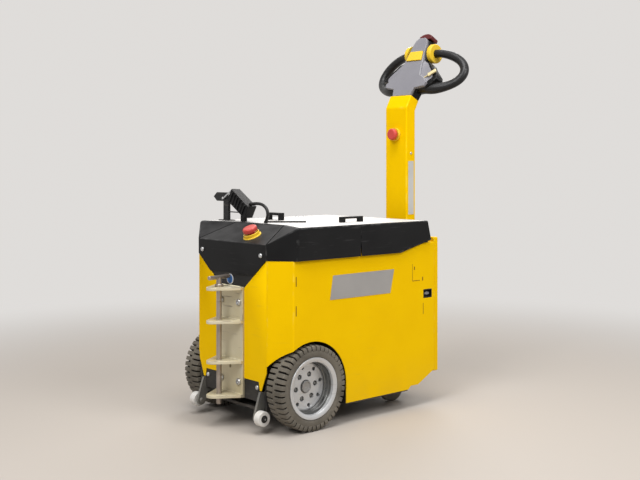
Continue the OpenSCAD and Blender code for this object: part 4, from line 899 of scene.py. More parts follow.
@dataclass
class Bodywork:
    """Yellow sheet, black front plate, badges and their screws."""

    parts: tuple[Rounding, ...] = (
        Rounding("body_shell", YELLOW_COAT, 0.7, 3.5), Rounding("rear_panel", YELLOW_COAT, 1.0, 3.5),
        Rounding("front_plate", BLACK_COAT, 1.0), Rounding("chassis", BLACK_COAT, 0.8),
        Rounding("screws", ZINC, 0.3), Rounding("name_plate", PLATE_METAL, 0.3),
        Rounding("side_latch", SMALL_PLASTIC, 0.8), Rounding("latch_bar", GREY_PLASTIC, 0.6),
        Rounding("hinge_fixed", ZINC, 0.3), Rounding("hinge_moving", ZINC, 0.3))
    mark_rise: float = 0.3
    # each mark of the side sheet: distance behind the axle, lower end, upper end and width
    marks: tuple[tuple[float, float, float, float], ...] = (
        (-61, 424, 452, 3.5), (-61, 339, 368, 3.5), (421, 402, 456, 1.6), (438, 401, 403, 34),
        (430, 437, 447, 5), (468, 400, 412, 5), (471, 292, 328, 2.5))
    # each layer of the disc: its shares of the node's radius and thickness, and its finish
    disc_layers: tuple[tuple[str, float, float, Finish], ...] = (
        ("white_rim", 1.0, 0.6, WHITE_ENAMEL), ("blue_field", 0.84, 0.9, BLUE_ENAMEL))

    def side_marks(self, shop: Workshop, side: str, sign: float) -> None:
        """Makes the slits by the fold, dark strips of painted shade, and the scored corner near the latch.

        Args:
            shop: The workshop that dresses.
            side: Side of the machine.
            sign: 1 on the right side, -1 on the left one.
        """
        sheet_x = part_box("body_shell")[1].x / MM
        shape = bmesh.new()
        for y, low, high, wide in self.marks:
            middle = shop.place(sign * sheet_x, y, (low + high) / 2)
            add_block(shape, middle, (2 * self.mark_rise, wide, high - low))
        shape.faces.layers.float.new("edge")
        bevel_edges(shape, shape.edges, self.mark_rise / 3, 1)
        shop.add(linked(kept_mesh("side_marks_" + side, shape)), SCRATCH_AND_SLIT_SHADE_COAT, "body_shell", replaces=False)

    def disc(self, shop: Workshop) -> None:
        """Makes the bare blue disc with its white rim.

        Args:
            shop: The workshop that dresses.
        """
        low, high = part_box("blue_disc")
        radius = (high.x - low.x) / 2
        thick = high.y - low.y
        middle = (low.x + radius, high.y, low.z + radius)
        place = Matrix.Translation(middle) @ Matrix.Rotation(TURN / 4, 4, "X")
        for name, share, height, finish in self.disc_layers:
            outline = head_outline(share * radius / MM, height * thick / MM, thick / 4 / MM)
            shop.turned(name, outline, place, finish, "blue_disc")

    def build(self, shop: Workshop) -> None:
        """Makes the pieces of the body.

        Args:
            shop: The workshop that rounds and dresses.
        """
        shop.rounded(self.parts)
        self.disc(shop)
        for side, sign in SIDES:
            self.side_marks(shop, side, sign)


@dataclass
class Covers:
    """Black covers with their pale decks, handle and small screws."""

    parts: tuple[Rounding, ...] = (
        Rounding("front_cover", COVER_PLASTIC, 1.0, 5.0), Rounding("rear_cover", COVER_PLASTIC, 1.0, 5.0),
        Rounding("front_deck", DECK_SKIN, 0.8), Rounding("rear_deck", DECK_SKIN, 0.8),
        Rounding("deck_handle", SMALL_PLASTIC, 2.0), Rounding("deck_screws", ZINC, 0.3))
    seam_radius: float = 1.5
    seam_sides: int = 12
    # ends of the seam along the fascia's fold, on the right side
    seam: tuple[Point, Point] = ((167.5, -118.5, 541.8), (118.5, -13, 589.8))

    def fold_seam(self, shop: Workshop, sweep: ShapeTree, side: str, sign: float) -> None:
        """Lays the dark line of painted shade along the fascia's fold on one side.

        Args:
            shop: The workshop that dresses.
            sweep: The tree that sweeps a round section.
            side: Side of the machine.
            sign: 1 on the right side, -1 on the left one.
        """
        line = path_piece(f"fascia_seam_{side}_0", [shop.place(sign * x, y, z) for x, y, z in self.seam])
        sweep.run(shop, line, SEAM_SHADE, Radius=self.seam_radius * MM, Sides=self.seam_sides)
        shop.add(line, SEAM_SHADE, "front_cover", replaces=False)

    def build(self, shop: Workshop, sweep: ShapeTree) -> None:
        """Makes the covers and what lies on them.

        Args:
            shop: The workshop that rounds and dresses.
            sweep: The tree that sweeps a round section.
        """
        for side, sign in SIDES:
            self.fold_seam(shop, sweep, side, sign)
        shop.rounded(self.parts)


@dataclass
class Hitch:
    """Bracket with its shelves, bolts and the tow pin."""

    parts: tuple[Rounding, ...] = (
        Rounding("hitch_bracket", HITCH_STEEL, 1.0), Rounding("hitch_bolts", ZINC, 0.3),
        Rounding("tow_pin", PIN_STEEL, 1.5))
    plate_front: float = -122.0
    shelf_tops: tuple[float, ...] = (411.0, 313.0, 195.0, 95.0)
    shelf_thickness: float = 9.0
    bead_radius: float = 2.4
    bead_sides: int = 10
    bead_rings: int = 6
    bead_narrowing: float = 0.9
    bead_step: float = 3.2
    bead_reach: float = 52.0

    def weld_beads(self, shop: Workshop, row: ShapeTree) -> None:
        """Lays the weld beads in the corners between the shelves and the back plate.

        Args:
            shop: The workshop that dresses.
            row: The tree that copies a shape in a row.
        """
        shape = bmesh.new()
        narrow = Matrix.Diagonal((self.bead_narrowing, 1.0, 1.0, 1.0))
        for top in self.shelf_tops:
            for height in (top, top - self.shelf_thickness):
                place = Matrix.Translation((0, 0, height * MM)) @ narrow
                bmesh.ops.create_uvsphere(shape, u_segments=self.bead_sides, v_segments=self.bead_rings,
                                          radius=self.bead_radius * MM, matrix=place)
        beads = linked(kept_mesh("weld_beads", shape))
        row.run(shop, beads, HITCH_STEEL, Count=int(2 * self.bead_reach / self.bead_step),
                Start=tuple(shop.place(-self.bead_reach, self.plate_front, 0.0)),
                Step=(self.bead_step * MM, 0.0, 0.0))
        smooth_faces(beads, 60)
        shop.add(beads, HITCH_STEEL, "hitch_bracket", replaces=False)

    def build(self, shop: Workshop, row: ShapeTree) -> None:
        """Makes the hitch.

        Args:
            shop: The workshop that rounds and dresses.
            row: The tree that copies a shape in a row.
        """
        self.weld_beads(shop, row)
        shop.rounded(self.parts)


@dataclass
class DriveWheel:
    """A driven wheel: tread and flanks of the tyre, rim and hub.

    The points of its outlines are radius and distance outwards from the wheel's middle plane.
    """

    side: str
    sign: float
    steps: int = 128
    tread_radius: float = 125.0
    rim_radius: float = 90.5
    width: float = 72.0
    groove_depth: float = 6.0
    groove: float = 6.0
    rib_half: float = 4.0
    blocks: int = 44
    block_edge: float = 0.8
    # shares of the way from the rim up to the grooves, and of half the width
    flank_shares: Outline = ((0.0, 0.9), (0.05, 0.95), (0.12, 0.955), (0.17, 0.985), (0.4, 0.99),
                             (0.56, 0.985), (0.6, 0.965), (0.66, 0.96))
    base_shares: Outline = ((0.66, 0.95), (0.76, 0.85), (0.9, 0.72), (1.0, 0.6))
    # height above the tread, and share of half the width
    shoulder: Outline = ((-1.0, 0.62), (-2.4, 0.9), (-7.5, 0.985), (-12.5, 0.99), (-17.0, 0.98), (-17.0, 0.7))
    lip_radius: float = 75.6
    lip_depth: float = 10.0
    barrel_radius: float = 69.5
    rim_half: float = 33.0
    disc_front: float = -4.0
    disc_back: float = -12.0
    disc_rise: float = 1.4
    hole_circle: float = 57.0
    hole_radius: float = 5.6
    holes: int = 8
    hole_phase: float = 12.0
    hole_taper: float = 0.1
    hole_steps: int = 24
    shaft_radius: float = 12.5
    boss_radius: float = 23.0
    flange_radius: float = 54.0
    cap_radius: float = 17.5
    bolt_circle: float = 37.0
    bolt_seat_radius: float = 7.6
    bolts: int = 6
    bolt_phase: float = 37.5
    # radius, height and edge of a bolt's head
    bolt_head: tuple[float, float, float] = (4.4, 2.6, 1.6)
    bolt_head_steps: int = 20
    # the dark disc of painted shade on the bottom of a seat: its radius, and its two faces above that bottom
    seat_shade_radius: float = 8.0
    seat_shade_span: tuple[float, float] = (-0.1, 0.3)
    seat_shade_steps: int = 24

    def turned(self, shop: Workshop, name: str, outline: Outline, finish: Finish, node: str,
               cut: Optional[bpy.types.Mesh] = None) -> None:
        """Makes one piece that is turned about the axle.

        Args:
            shop: The workshop that dresses.
            name: Name of the piece without its side.
            outline: Its points.
            finish: Its finish.
            node: The node that it stands for, without its side.
            cut: Mesh about the same axis that is cut out of it.
        """
        place = on_axle("tyre_" + self.side, self.sign)
        shop.turned(f"{name}_{self.side}", outline, place, finish, f"{node}_{self.side}",
                    steps=self.steps, cut=cut)

    def ringed(self, shop: Workshop, ring: ShapeTree, mesh: bpy.types.Mesh, finish: Finish, node: str,
               count: int, phase: float, sharp: float) -> None:
        """Copies a mesh round the axle and dresses it.

        Args:
            shop: The workshop that dresses.
            ring: The tree that copies a shape round a ring.
            mesh: The mesh, about Z.
            finish: Its finish.
            node: The node that it stands for, without its side.
            count: How often it comes.
            phase: Where the first copy lies, in radians.
            sharp: Angle from which an edge stays sharp, in degrees.
        """
        piece = linked(mesh)
        place = on_axle("tyre_" + self.side, self.sign)
        ring.run(shop, piece, finish, Count=count, Phase=phase, Turn=(0.0, self.sign * TURN / 4, 0.0),
                 Place=tuple(place.translation))
        smooth_faces(piece, sharp)
        shop.add(piece, finish, f"{node}_{self.side}")

    def layer(self, shares: Outline) -> list[tuple[float, float]]:
        """Outline of a layer of the tyre, with both its sides alike.

        Args:
            shares: Shares of the way from the rim up to the grooves, and of half the width.

        Returns:
            The outline.
        """
        rise = self.tread_radius - self.groove_depth - self.rim_radius
        upper = [(self.rim_radius + up * rise, out * self.width / 2) for up, out in shares]
        return upper + [(radius, -out) for radius, out in reversed(upper)]

    def rib(self) -> list[tuple[float, float]]:
        """Outline of the rib between the two rows of blocks.

        Returns:
            The outline.
        """
        low = self.tread_radius - self.groove_depth - 1
        half = self.rib_half
        return [(low, half + 1), (self.tread_radius - 1, half), (self.tread_radius - 0.6, 0.0),
                (self.tread_radius - 1, -half), (low, -half - 1)]

    def block(self, name: str) -> bpy.types.Mesh:
        """Makes one tread block of the outer row, about the wheel's middle.

        Args:
            name: Name of the mesh.

        Returns:
            The block, with Z outwards.
        """
        wide = (TURN * self.tread_radius / self.blocks - self.groove) / 2
        outline = [(-self.groove_depth - 1.5, self.rib_half), (-0.3, self.rib_half)]
        outline += [(up, share * self.width / 2) for up, share in self.shoulder]
        shape = bmesh.new()
        rows = [[shape.verts.new(((self.tread_radius + up) * MM, across * MM, out * MM))
                 for up, out in outline] for across in (-wide, wide)]
        for i in range(len(outline)):
            j = (i + 1) % len(outline)
            shape.faces.new((rows[0][i], rows[0][j], rows[1][j], rows[1][i]))
        shape.faces.new(rows[0])
        shape.faces.new(rows[1])
        bmesh.ops.recalc_face_normals(shape, faces=shape.faces)
        shape.faces.layers.float.new("edge")
        bevel_edges(shape, [e for e in shape.edges if is_sharp(e, 40)], self.block_edge, 2)
        return kept_mesh(name, shape)

    def tyre(self, shop: Workshop, ring: ShapeTree) -> None:
        """Makes the flanks, the bottom of the grooves, near black as painted shade, the rib and the two rows
        of blocks.

        Args:
            shop: The workshop that dresses.
            ring: The tree that copies a shape round a ring.
        """
        self.turned(shop, "tyre_flanks", self.layer(self.flank_shares), TYRE, "tyre")
        self.turned(shop, "tread_base", self.layer(self.base_shares), GROOVE_SHADE_RUBBER, "tyre")
        self.turned(shop, "tread_rib", self.rib(), TYRE, "tyre")
        for row, turn, phase in (("outer", 0.0, 0.0), ("inner", TURN / 2, TURN / 2 / self.blocks)):
            block = self.block(f"tread_{row}_{self.side}")
            block.transform(Matrix.Rotation(turn, 4, "X"))
            self.ringed(shop, ring, block, TYRE, "tyre", self.blocks, phase, 45)

    def seat_floor(self) -> float:
        """Distance outwards of the bottom of the bolts' seats."""
        return (self.disc_front + self.disc_back) / 2

    def drill(self) -> bpy.types.Mesh:
        """Makes the round holes and the bolts' seats, which are cut out of the disc.

        Returns:
            The mesh, about Z.
        """
        shape = bmesh.new()
        high = self.disc_front + 2
        for count, circle, phase, radius, low in (
                (self.holes, self.hole_circle, self.hole_phase, self.hole_radius, self.disc_back - 2),
                (self.bolts, self.bolt_circle, self.bolt_phase, self.bolt_seat_radius, self.seat_floor())):
            for i in range(count):
                angle = math.radians(phase) + i * TURN / count
                middle = Vector((circle * math.cos(angle), circle * math.sin(angle), (low + high) / 2)) * MM
                bmesh.ops.create_cone(shape, cap_ends=True, segments=self.hole_steps,
                                      radius1=(1 - self.hole_taper) * radius * MM,
                                      radius2=(1 + self.hole_taper) * radius * MM,
                                      depth=(high - low) * MM, matrix=Matrix.Translation(middle))
        return kept_mesh("drill", shape)

    def rim(self, shop: Workshop) -> None:
        """Makes the lip, the barrel, darker as painted shade, and the drilled disc of the rim.

        Args:
            shop: The workshop that dresses.
        """
        outer, lip, deep, inner, half = (
            self.rim_radius, self.lip_radius, self.lip_depth, self.barrel_radius, self.rim_half)
        front, back = self.disc_front, self.disc_back
        self.turned(shop, "rim_lip", [
            (outer, -deep), (outer, half + 0.3), (outer - 1.4, half + 2), (outer - 6, half + 2),
            (outer - 8.5, half + 0.6), (lip + 3.5, half), (lip + 1, half - 1.5), (lip, half - 5),
            (lip, half - 9), (lip + 1.2, half - deep), (lip + 1.2, -deep)], RIM_SILVER, "rim")
        self.turned(shop, "rim_barrel", [
            (outer - 0.5, -deep - 0.3), (lip + 0.9, -deep - 0.3), (lip + 0.9, half - 9.5),
            (lip - 1.2, half - 12), (lip - 1.6, half - 17), (inner + 2.6, half - 19), (inner + 2, half - 30),
            (inner, half - 32), (inner, back), (inner + 3, -half), (outer - 0.5, -half)], RIM_SHADE, "rim")
        hole, rise = self.cap_radius + 0.3, front + self.disc_rise
        self.turned(shop, "rim_disc", [
            (hole, front), (inner - 9, front), (inner - 7, rise), (inner - 1.5, rise), (inner + 0.4, front),
            (inner + 0.4, back), (hole, back)], RIM_SILVER, "rim", self.drill())

    def hub(self, shop: Workshop, ring: ShapeTree) -> None:
        """Makes the hub with its dished cap and a dark ring of painted shade in the gap round it, and the
        bolts, darkened as painted shade, on dark discs of painted shade in their seats.

        Args:
            shop: The workshop that dresses.
            ring: The tree that copies a shape round a ring.
        """
        low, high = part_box("hub_" + self.side)
        middle = on_axle("tyre_" + self.side, self.sign).translation
        inward = (min(abs(low.x), abs(high.x)) - abs(middle.x)) / MM
        cap, front, back = self.cap_radius, self.disc_front, self.disc_back
        shaft, boss, flange = self.shaft_radius, self.boss_radius, self.flange_radius
        self.turned(shop, "hub_body", [
            (0.0, inward), (shaft, inward), (shaft, back - 10), (boss, back - 10), (boss, back - 8),
            (flange, back - 8), (flange, back), (cap, back), (cap, front + 4), (cap - 1, front + 5.2),
            (cap - 3, front + 5.4), (cap - 4.5, front + 3.2), (cap - 8, front + 2.4), (3.0, front + 2.2),
            (2.0, front + 1.2), (0.0, front + 1.2)], HUB_STEEL, "hub")
        self.turned(shop, "cap_gap_shade", [
            (cap, front), (cap + 1.8, front), (cap + 1.8, front + 0.3), (cap, front + 0.3)],
            HUB_BLACK_AND_SEAT_SHADE, "hub")
        wide, (under, over) = self.seat_shade_radius, self.seat_shade_span
        seat = [(0.0, under), (wide, under), (wide, over), (0.0, over)]
        for name, outline, steps, finish in (
                ("wheel_bolts", head_outline(*self.bolt_head), self.bolt_head_steps, RIM_SHADE),
                ("bolt_seat_shade", seat, self.seat_shade_steps, HUB_BLACK_AND_SEAT_SHADE)):
            mesh = turned_mesh(f"{name}_{self.side}", outline, steps)
            mesh.transform(Matrix.Translation(Vector((self.bolt_circle, 0, self.seat_floor())) * MM))
            self.ringed(shop, ring, mesh, finish, "hub", self.bolts, math.radians(self.bolt_phase), 40)

    def build(self, shop: Workshop, ring: ShapeTree) -> None:
        """Makes the tyre, the rim and the hub.

        Args:
            shop: The workshop that dresses.
            ring: The tree that copies a shape round a ring.
        """
        self.tyre(shop, ring)
        self.rim(shop)
        self.hub(shop, ring)


@dataclass
class Undercarriage:
    """Front rollers, castors and the drive units."""

    parts: tuple[Rounding, ...] = (
        Rounding("roller_arms", ARM_STEEL, 0.8), Rounding("castor_mounts", ZINC, 0.8))
    pairs: tuple[Rounding, ...] = (
        Rounding("roller_", NYLON, 0.5), Rounding("castor_fork_", ZINC, 0.8),
        Rounding("castor_wheel_", TYRE, 1.0), Rounding("gearbox_", CAST_ALLOY, 2.0),
        Rounding("motor_", BLACK_COAT, 1.0))
    cap_steps: int = 48
    cap_sink: float = 1.6
    cap_radius: float = 10.4
    hub_radius: float = 6.9
    hub_height: float = 5.6
    eye_radius: float = 2.6

    def roller_cap(self, shop: Workshop, side: str, sign: float) -> None:
        """Makes the dark cap in the middle of a roller, with its small eye.

        Args:
            shop: The workshop that dresses.
            side: Side of the machine.
            sign: 1 on the right side, -1 on the left one.
        """
        node = "roller_" + side
        low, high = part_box(node)
        face = (high.x - low.x) / 2 / MM - self.cap_sink
        top = face + self.hub_height
        cap, hub, eye = self.cap_radius, self.hub_radius, self.eye_radius
        cap_outline = [(0.0, face), (cap, face), (cap, face + 2.2), (cap - 1.5, face + 2.8),
                       (hub + 0.3, face + 2.4), (hub, top - 1), (hub - 0.7, top), (0.0, top)]
        eye_outline = [(0.0, top - 0.5), (eye, top - 0.5), (eye, top + 0.2), (0.0, top + 0.4)]
        for name, outline, finish in (("roller_cap_", cap_outline, HUB_BLACK_AND_SEAT_SHADE),
                                      ("roller_eye_", eye_outline, HUB_STEEL)):
            shop.turned(name + side, outline, on_axle(node, sign), finish, node, replaces=False,
                        steps=self.cap_steps)

    def build(self, shop: Workshop) -> None:
        """Dresses the running gear.

        Args:
            shop: The workshop that rounds and dresses.
        """
        shop.rounded(self.parts)
        for side, sign in SIDES:
            shop.rounded(self.pairs, side)
            self.roller_cap(shop, side, sign)


@dataclass
class Interior:
    """What lies inside the body: batteries, charger and controller."""

    parts: tuple[Rounding, ...] = (
        Rounding("batteries", BATTERY, 3.0), Rounding("charger", CAST_ALLOY, 1.0),
        Rounding("motor_controller", CAST_ALLOY, 0.8))

    def build(self, shop: Workshop) -> None:
        """Dresses the inner pieces."""
        shop.rounded(self.parts)


@dataclass
class DeckGear:
    """Connector, its bracket and lead, cable channel and rod."""

    parts: tuple[Rounding, ...] = (
        Rounding("connector_bracket", BLACK_COAT, 0.8), Rounding("connector_block", SMALL_PLASTIC, 0.9),
        Rounding("cable_channel", SMALL_PLASTIC, 0.6), Rounding("deck_rod", SMALL_PLASTIC, 0.4))
    lead_radius: float = 5.0
    lead_sides: int = 20
    lead_steps: int = 3
    lead_route: tuple[Point, ...] = (
        (-84, 5, 640), (-76, 5, 644), (-68, 5, 647), (-59, 5, 649), (-50, 5, 650), (-39, 5, 650.8),
        (-29, 5, 651), (-19, 5, 650.5), (-9, 5, 649), (0, 5, 646), (8, 5, 641.5), (14, 5, 636),
        (18.5, 5, 629), (20.3, 5, 620), (19, 5, 612), (16, 5, 605), (12.8, 5, 599), (11.3, 5, 593),
        (11, 5, 588.6))
    lever_foot: Point = (-195.0, -9.0, 660.0)
    lever_size: Point = (60.0, 8.0, 4.0)
    lever_turn: float = 31.0
    lever_edge: float = 0.5
    lever_over: float = 0.3

    def lead(self, shop: Workshop, sweep: ShapeTree) -> None:
        """Makes the connector's lead, from the housing to its hole in the deck.

        Args:
            shop: The workshop that dresses.
            sweep: The tree that sweeps a round section.
        """
        path = smooth_path([shop.place(*point) for point in self.lead_route], self.lead_steps)
        lead = path_piece("connector_lead_sweep", path)
        sweep.run(shop, lead, CABLE, Radius=self.lead_radius * MM, Sides=self.lead_sides)
        shop.add(lead, CABLE, "connector_lead")

    def lever_skin(self, shop: Workshop) -> None:
        """Makes the bright bare steel of the locking lever, a little larger than the solid under it.

        Args:
            shop: The workshop that dresses.
        """
        long, wide, thick = self.lever_size
        over = self.lever_over
        shape = bmesh.new()
        middle = Vector(((long - over) / 2, wide / 2, thick / 2)) * MM
        add_block(shape, middle, (long + over, wide + 2 * over, thick + 2 * over))
        shape.faces.layers.float.new("edge")
        bevel_edges(shape, shape.edges, self.lever_edge, EDGE_STEPS)
        mesh = kept_mesh("lever_skin", shape)
        turn = Matrix.Rotation(math.radians(-self.lever_turn), 4, "Y")
        mesh.transform(Matrix.Translation(shop.place(*self.lever_foot)) @ turn)
        shop.add(linked(mesh), ZINC, "connector_block", replaces=False)

    def build(self, shop: Workshop) -> None:
        """Makes what stands on the deck.

        Args:
            shop: The workshop that rounds and dresses.
        """
        shop.rounded(self.parts)
        self.lever_skin(shop)


@dataclass
class StopButtons:
    """Both emergency stops."""

    parts: tuple[Rounding, ...] = (
        Rounding("front_stop_head", RED_PLASTIC, 0.4), Rounding("mast_stop_base", YELLOW_PLASTIC, 0.6),
        Rounding("mast_stop_head", RED_PLASTIC, 0.4))
    fascia_rise: float = 50.0
    fascia_run: float = 110.0
    foot_x: float = 55.0
    foot_back: float = 39.0
    fold_height: float = 542.0
    fascia_front: float = 120.0
    disc_radius: float = 28.0
    disc_height: float = 2.0
    disc_edge: float = 0.6
    ring_radius: float = 24.5
    ring_height: float = 12.0
    lip: float = 1.6
    well_radius: float = 20.0
    well_height: float = 8.0
    neck_radius: float = 11.3

    def ring_outline(self) -> list[tuple[float, float]]:
        """Outline of the yellow ring with its round lip and the sunk floor inside it.

        Returns:
            The outline.
        """
        top, soft = self.disc_height, self.disc_edge
        lip = arc(self.ring_radius - self.lip, self.ring_height - self.lip, self.lip, range(0, 181, 20))
        return [(self.neck_radius, 0.0), (self.disc_radius, 0.0), (self.disc_radius, top - soft),
                (self.disc_radius - soft, top), (self.ring_radius + soft, top),
                (self.ring_radius, top + soft), *lip, (self.well_radius, self.well_height),
                (self.neck_radius, self.well_height)]

    def build(self, shop: Workshop) -> None:
        """Makes the ring on the fascia and dresses the other pieces.

        Args:
            shop: The workshop that rounds and dresses.
        """
        slope = self.fascia_rise / self.fascia_run
        foot = shop.place(self.foot_x, self.foot_back - self.fascia_front,
                          self.fold_height + self.foot_back * slope)
        place = Matrix.Translation(foot) @ Matrix.Rotation(math.atan(slope), 4, "X")
        shop.turned("front_stop_ring", self.ring_outline(), place, YELLOW_PLASTIC, "front_stop_base")
        shop.rounded(self.parts)


@dataclass
class MastAndTiller:
    """Mast with its bracket, and the tiller head with handle and controls."""

    parts: tuple[Rounding, ...] = (
        Rounding("mast", YELLOW_COAT, 0.8, 4.0), Rounding("mast_bracket", YELLOW_COAT, 1.0),
        Rounding("mast_strip", PALE_STRIP, 0.2), Rounding("tiller_shell", SMALL_PLASTIC, 3.0),
        Rounding("tiller_face", GREY_PLASTIC, 2.5), Rounding("thumb_wheels", YELLOW_PLASTIC, 0.6),
        Rounding("face_button", YELLOW_PLASTIC, 1.2), Rounding("belly_button", SHADED_RED_PLASTIC, 3.0),
        Rounding("rocker", CREAM_PLASTIC, 1.2))
    tilt: float = 28.0
    handle_radius: float = 14.0
    handle_sides: int = 32
    handle_depth: float = 33.0
    low_up: float = 45.03
    top_up: float = 184.86
    loop_inner: float = 20.0
    loop_start: float = 77.0
    loop_reach: float = 115.0
    loop_rise: float = 0.27
    loop_steps: int = 48
    # distance across, and share by which the lower and the upper arm of the handle are thicker there
    low_swell: Outline = ((92, 0.5), (108, 0.44), (124, 0.3), (144, 0.14), (160, 0.08))
    top_swell: Outline = ((90, 0.0), (125, 0.08))
    # distance up the head, and half the width of the face and of the shell's wings there
    face_half: Outline = ((35.6, 90), (49.8, 96), (68, 79), (82, 55), (106.7, 48), (148, 41))
    wing_half: Outline = (
        (54, 90), (57, 94), (62, 98), (68, 110), (74, 119), (80, 121), (86, 119), (93, 113), (100, 106),
        (108, 98), (117, 87), (126, 79), (134, 70), (140, 56), (146, 43))
    # depths behind the face of a wing's front, from under the face outwards
    wing_depths: tuple[float, ...] = (6.0, 9.3, 11.0, 11.8, 12.6)
    wing_back: float = 13.3
    wing_margin: float = 4.0
    wing_under: float = 3.0

    def head(self, x: float, depth: float, up: float) -> Vector:
        """Turns a place on the tiller head into the frame's axes.

        Args:
            x: Place across.
            depth: Depth behind the face.
            up: Distance up the face.

        Returns:
            The place in the frame.
        """
        low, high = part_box("thumb_wheels")
        anchor = (low + high) / 2
        lean = math.radians(self.tilt)
        rise = (up - self.top_up) * MM
        back = (depth - self.handle_depth) * MM
        return Vector((x * MM, anchor.y + rise * math.sin(lean) + back * math.cos(lean),
                       anchor.z + rise * math.cos(lean) - back * math.sin(lean)))

    def loop(self, sign: float) -> tuple[list[Vector], list[float]]:
        """Runs along one half of the handle, from its lower socket to its upper one.

        Args:
            sign: 1 for the right half, -1 for the left one.

        Returns:
            The points of the route, and the share by which the handle is thicker at each.
        """
        middle, reach = (self.top_up + self.low_up) / 2, (self.top_up - self.low_up) / 2
        route = [self.head(sign * self.loop_inner, self.handle_depth, self.low_up)]
        swell = [self.low_swell[0][1]]
        for i in range(self.loop_steps + 1):
            turn = math.pi * (i / self.loop_steps - 0.5)
            out = self.loop_reach * math.cos(turn)
            across = self.loop_start + out
            route.append(self.head(sign * across, self.handle_depth + self.loop_rise * out,
                                   middle + reach * math.sin(turn)))
            swell.append(between(across, self.low_swell if turn < 0 else self.top_swell))
        route.append(self.head(sign * self.loop_inner, self.handle_depth, self.top_up))
        swell.append(self.top_swell[0][1])
        return route, swell

    def wing_skin(self, name: str, sign: float) -> bpy.types.Mesh:
        """Makes the grey front of one wing, from under the face out to the shell's edge.

        Args:
            name: Name of the mesh.
            sign: 1 for the right wing, -1 for the left one.

        Returns:
            A closed mesh in the frame's axes.
        """
        shape = bmesh.new()
        fronts, backs = [], []
        last, count = len(self.wing_half) - 1, len(self.wing_depths)
        for up, half in self.wing_half:
            start = between(up, self.face_half) - self.wing_under
            end = max(half - self.wing_margin, start + 1)
            across = [sign * (start + (end - start) * i / (count - 1)) for i in range(count)]
            fronts.append([shape.verts.new(self.head(x, depth, up))
                           for x, depth in zip(across, self.wing_depths)])
            backs.append([shape.verts.new(self.head(x, self.wing_back, up)) for x in across])
        for row in range(last):
            for i in range(count - 1):
                for sheet in (fronts, backs):
                    here, there = sheet[row], sheet[row + 1]
                    shape.faces.new((here[i], here[i + 1], there[i + 1], there[i]))
            for i in (0, count - 1):
                shape.faces.new((fronts[row][i], fronts[row + 1][i], backs[row + 1][i], backs[row][i]))
        for row in (0, last):
            for i in range(count - 1):
                shape.faces.new((fronts[row][i], fronts[row][i + 1], backs[row][i + 1], backs[row][i]))
        bmesh.ops.recalc_face_normals(shape, faces=shape.faces)
        return kept_mesh(name, shape)

    def build(self, shop: Workshop, sweep: ShapeTree) -> None:
        """Makes the mast and the tiller.

        Args:
            shop: The workshop that rounds and dresses.
            sweep: The tree that sweeps a round section.
        """
        shop.rounded(self.parts)
        for side, sign in SIDES:
            wing = linked(self.wing_skin("wing_skin_" + side, sign))
            smooth_faces(wing, 30)
            shop.add(wing, GREY_PLASTIC, "tiller_shell", replaces=False)
            half = path_piece("handle_loop_" + side, *self.loop(sign))
            sweep.run(shop, half, GRIP, Radius=self.handle_radius * MM, Sides=self.handle_sides)
            shop.add(half, GRIP, "handle_ring")


@dataclass(frozen=True)
class Lamp:
    """One square area lamp: its place, the length of its side in metres and its power in watts."""

    name: str
    place: Point
    size: float
    power: float


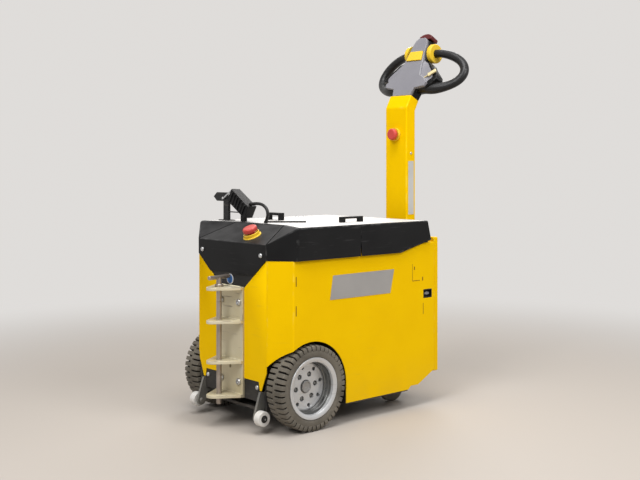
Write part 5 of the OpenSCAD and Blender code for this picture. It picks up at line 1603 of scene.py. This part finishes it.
@dataclass
class Studio:
    """Plain pale floor, soft light and the photograph's camera. Its lengths are metres."""

    eye: Point = (2.4215, -1.8989, 0.783)
    azimuth: float = 48.6
    lens: float = 56.25
    shift: float = -0.1234
    sensor: float = 36.0
    floor: Colour = (0.46, 0.415, 0.37)
    floor_roughness: float = 0.6
    floor_gloss: float = 0.2
    floor_half: float = 40.0
    fade_start: float = 0.95
    fade_end: float = 2.7
    backdrop: Colour = (0.74, 0.72, 0.7)
    room_light: Colour = (0.95, 0.97, 1.0)
    room_strength: float = 0.26
    aim: Point = (0.0, 0.0, 0.4)
    lamps: tuple[Lamp, ...] = (
        Lamp("ceiling_panel", (0.6, -0.6, 3.6), 1.8, 80.0), Lamp("front_panel", (0.9, -2.9, 2.8), 1.5, 66.0),
        Lamp("side_panel", (2.9, 0.4, 2.7), 1.5, 62.0), Lamp("back_panel", (-2.1, 2.6, 2.8), 1.8, 44.0))

    def camera(self, axle_y: float) -> None:
        """Sets the camera at the photograph's place.

        Args:
            axle_y: Place of the drive axle along Y.
        """
        data = bpy.data.cameras.new("photo_camera")
        data.lens = self.lens
        data.sensor_width = self.sensor
        data.shift_y = self.shift
        camera = bpy.data.objects.new("photo_camera", data)
        camera.location = Vector(self.eye) + Vector((0, axle_y, 0))
        camera.rotation_euler = (math.pi / 2, 0, math.radians(self.azimuth))
        bpy.context.scene.collection.objects.link(camera)
        bpy.context.scene.camera = camera

    def hang(self, lamp: Lamp) -> None:
        """Hangs one lamp and points it at the machine.

        Args:
            lamp: The lamp.
        """
        data = bpy.data.lights.new(lamp.name, "AREA")
        data.size = lamp.size
        data.energy = lamp.power
        hung = bpy.data.objects.new(lamp.name, data)
        hung.location = lamp.place
        hung.rotation_euler = (Vector(self.aim) - Vector(lamp.place)).to_track_quat("-Z", "Y").to_euler()
        bpy.context.scene.collection.objects.link(hung)

    def looked_at(self, work: NodeWork) -> bpy.types.NodeSocket:
        """Gives 1 for rays of the camera, of reflections and through glass, and 0 for the rays that light.

        Args:
            work: The tree it is used in.

        Returns:
            The value.
        """
        path = work.node("ShaderNodeLightPath").outputs
        value = path["Is Camera Ray"]
        for other in ("Is Glossy Ray", "Is Transmission Ray"):
            value = work.maths("MAXIMUM", value, path[other])
        return value

    def floor_paint(self) -> bpy.types.Material:
        """Makes the floor's paint, which fades into the backdrop far from the machine.

        Returns:
            The material.
        """
        paint = bpy.data.materials.new("pale_floor")
        paint.use_nodes = True
        work = NodeWork(paint.node_tree)
        surface = paint.node_tree.nodes["Principled BSDF"]
        work.feed(surface, {"Base Color": opaque(self.floor), "Roughness": self.floor_roughness,
                            "Specular IOR Level": self.floor_gloss})
        far = work.node("ShaderNodeEmission", {"Color": opaque(self.backdrop)})
        place = work.node("ShaderNodeTexCoord").outputs["Object"]
        away = work.node("ShaderNodeVectorMath", {0: place}, operation="LENGTH").outputs["Value"]
        fade = work.ranged(away, self.fade_start, self.fade_end, "SMOOTHSTEP")
        share = work.maths("MULTIPLY", fade, self.looked_at(work))
        mix = work.node("ShaderNodeMixShader", {0: share, 1: surface.outputs[0], 2: far.outputs[0]})
        work.feed(paint.node_tree.nodes["Material Output"], {"Surface": mix.outputs[0]})
        return paint

    def background(self) -> None:
        """Lights the world softly and shows it pale to the camera and to reflections."""
        world = bpy.data.worlds.new("pale_room")
        world.use_nodes = True
        bpy.context.scene.world = world
        work = NodeWork(world.node_tree)
        soft = world.node_tree.nodes["Background"]
        work.feed(soft, {"Color": opaque(self.room_light), "Strength": self.room_strength})
        pale = work.node("ShaderNodeBackground", {"Color": opaque(self.backdrop), "Strength": 1.0})
        mix = work.node("ShaderNodeMixShader", {
            0: self.looked_at(work), 1: soft.outputs[0], 2: pale.outputs[0]})
        work.feed(world.node_tree.nodes["World Output"], {"Surface": mix.outputs[0]})

    def build(self, axle_y: float) -> None:
        """Sets up floor, lamps, world and camera.

        Args:
            axle_y: Place of the drive axle along Y.
        """
        bpy.context.scene.view_settings.view_transform = "Standard"
        mesh = bpy.data.meshes.new("studio_floor")
        half = self.floor_half
        mesh.from_pydata([(-half, -half, 0), (half, -half, 0), (half, half, 0), (-half, half, 0)], [],
                         [(0, 1, 2, 3)])
        floor = linked(mesh)
        floor.data.materials.append(self.floor_paint())
        for lamp in self.lamps:
            self.hang(lamp)
        self.background()
        self.camera(axle_y)


def main() -> None:
    """Loads the frame, sets up the studio and builds every sub-assembly."""
    logging.basicConfig(level=logging.INFO, format="%(name)s: %(message)s")
    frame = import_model()
    shop = Workshop(frame)
    Studio().build(shop.axle_y)
    ring = ring_tree()
    sweep = sweep_tree()
    deck = DeckGear()
    deck.lead(shop, sweep)
    Bodywork().build(shop)
    Covers().build(shop, sweep)
    Hitch().build(shop, row_tree())
    for side, sign in SIDES:
        DriveWheel(side, sign).build(shop, ring)
    Undercarriage().build(shop)
    Interior().build(shop)
    deck.build(shop)
    StopButtons().build(shop)
    MastAndTiller().build(shop, sweep)


if __name__ == "__main__":
    main()
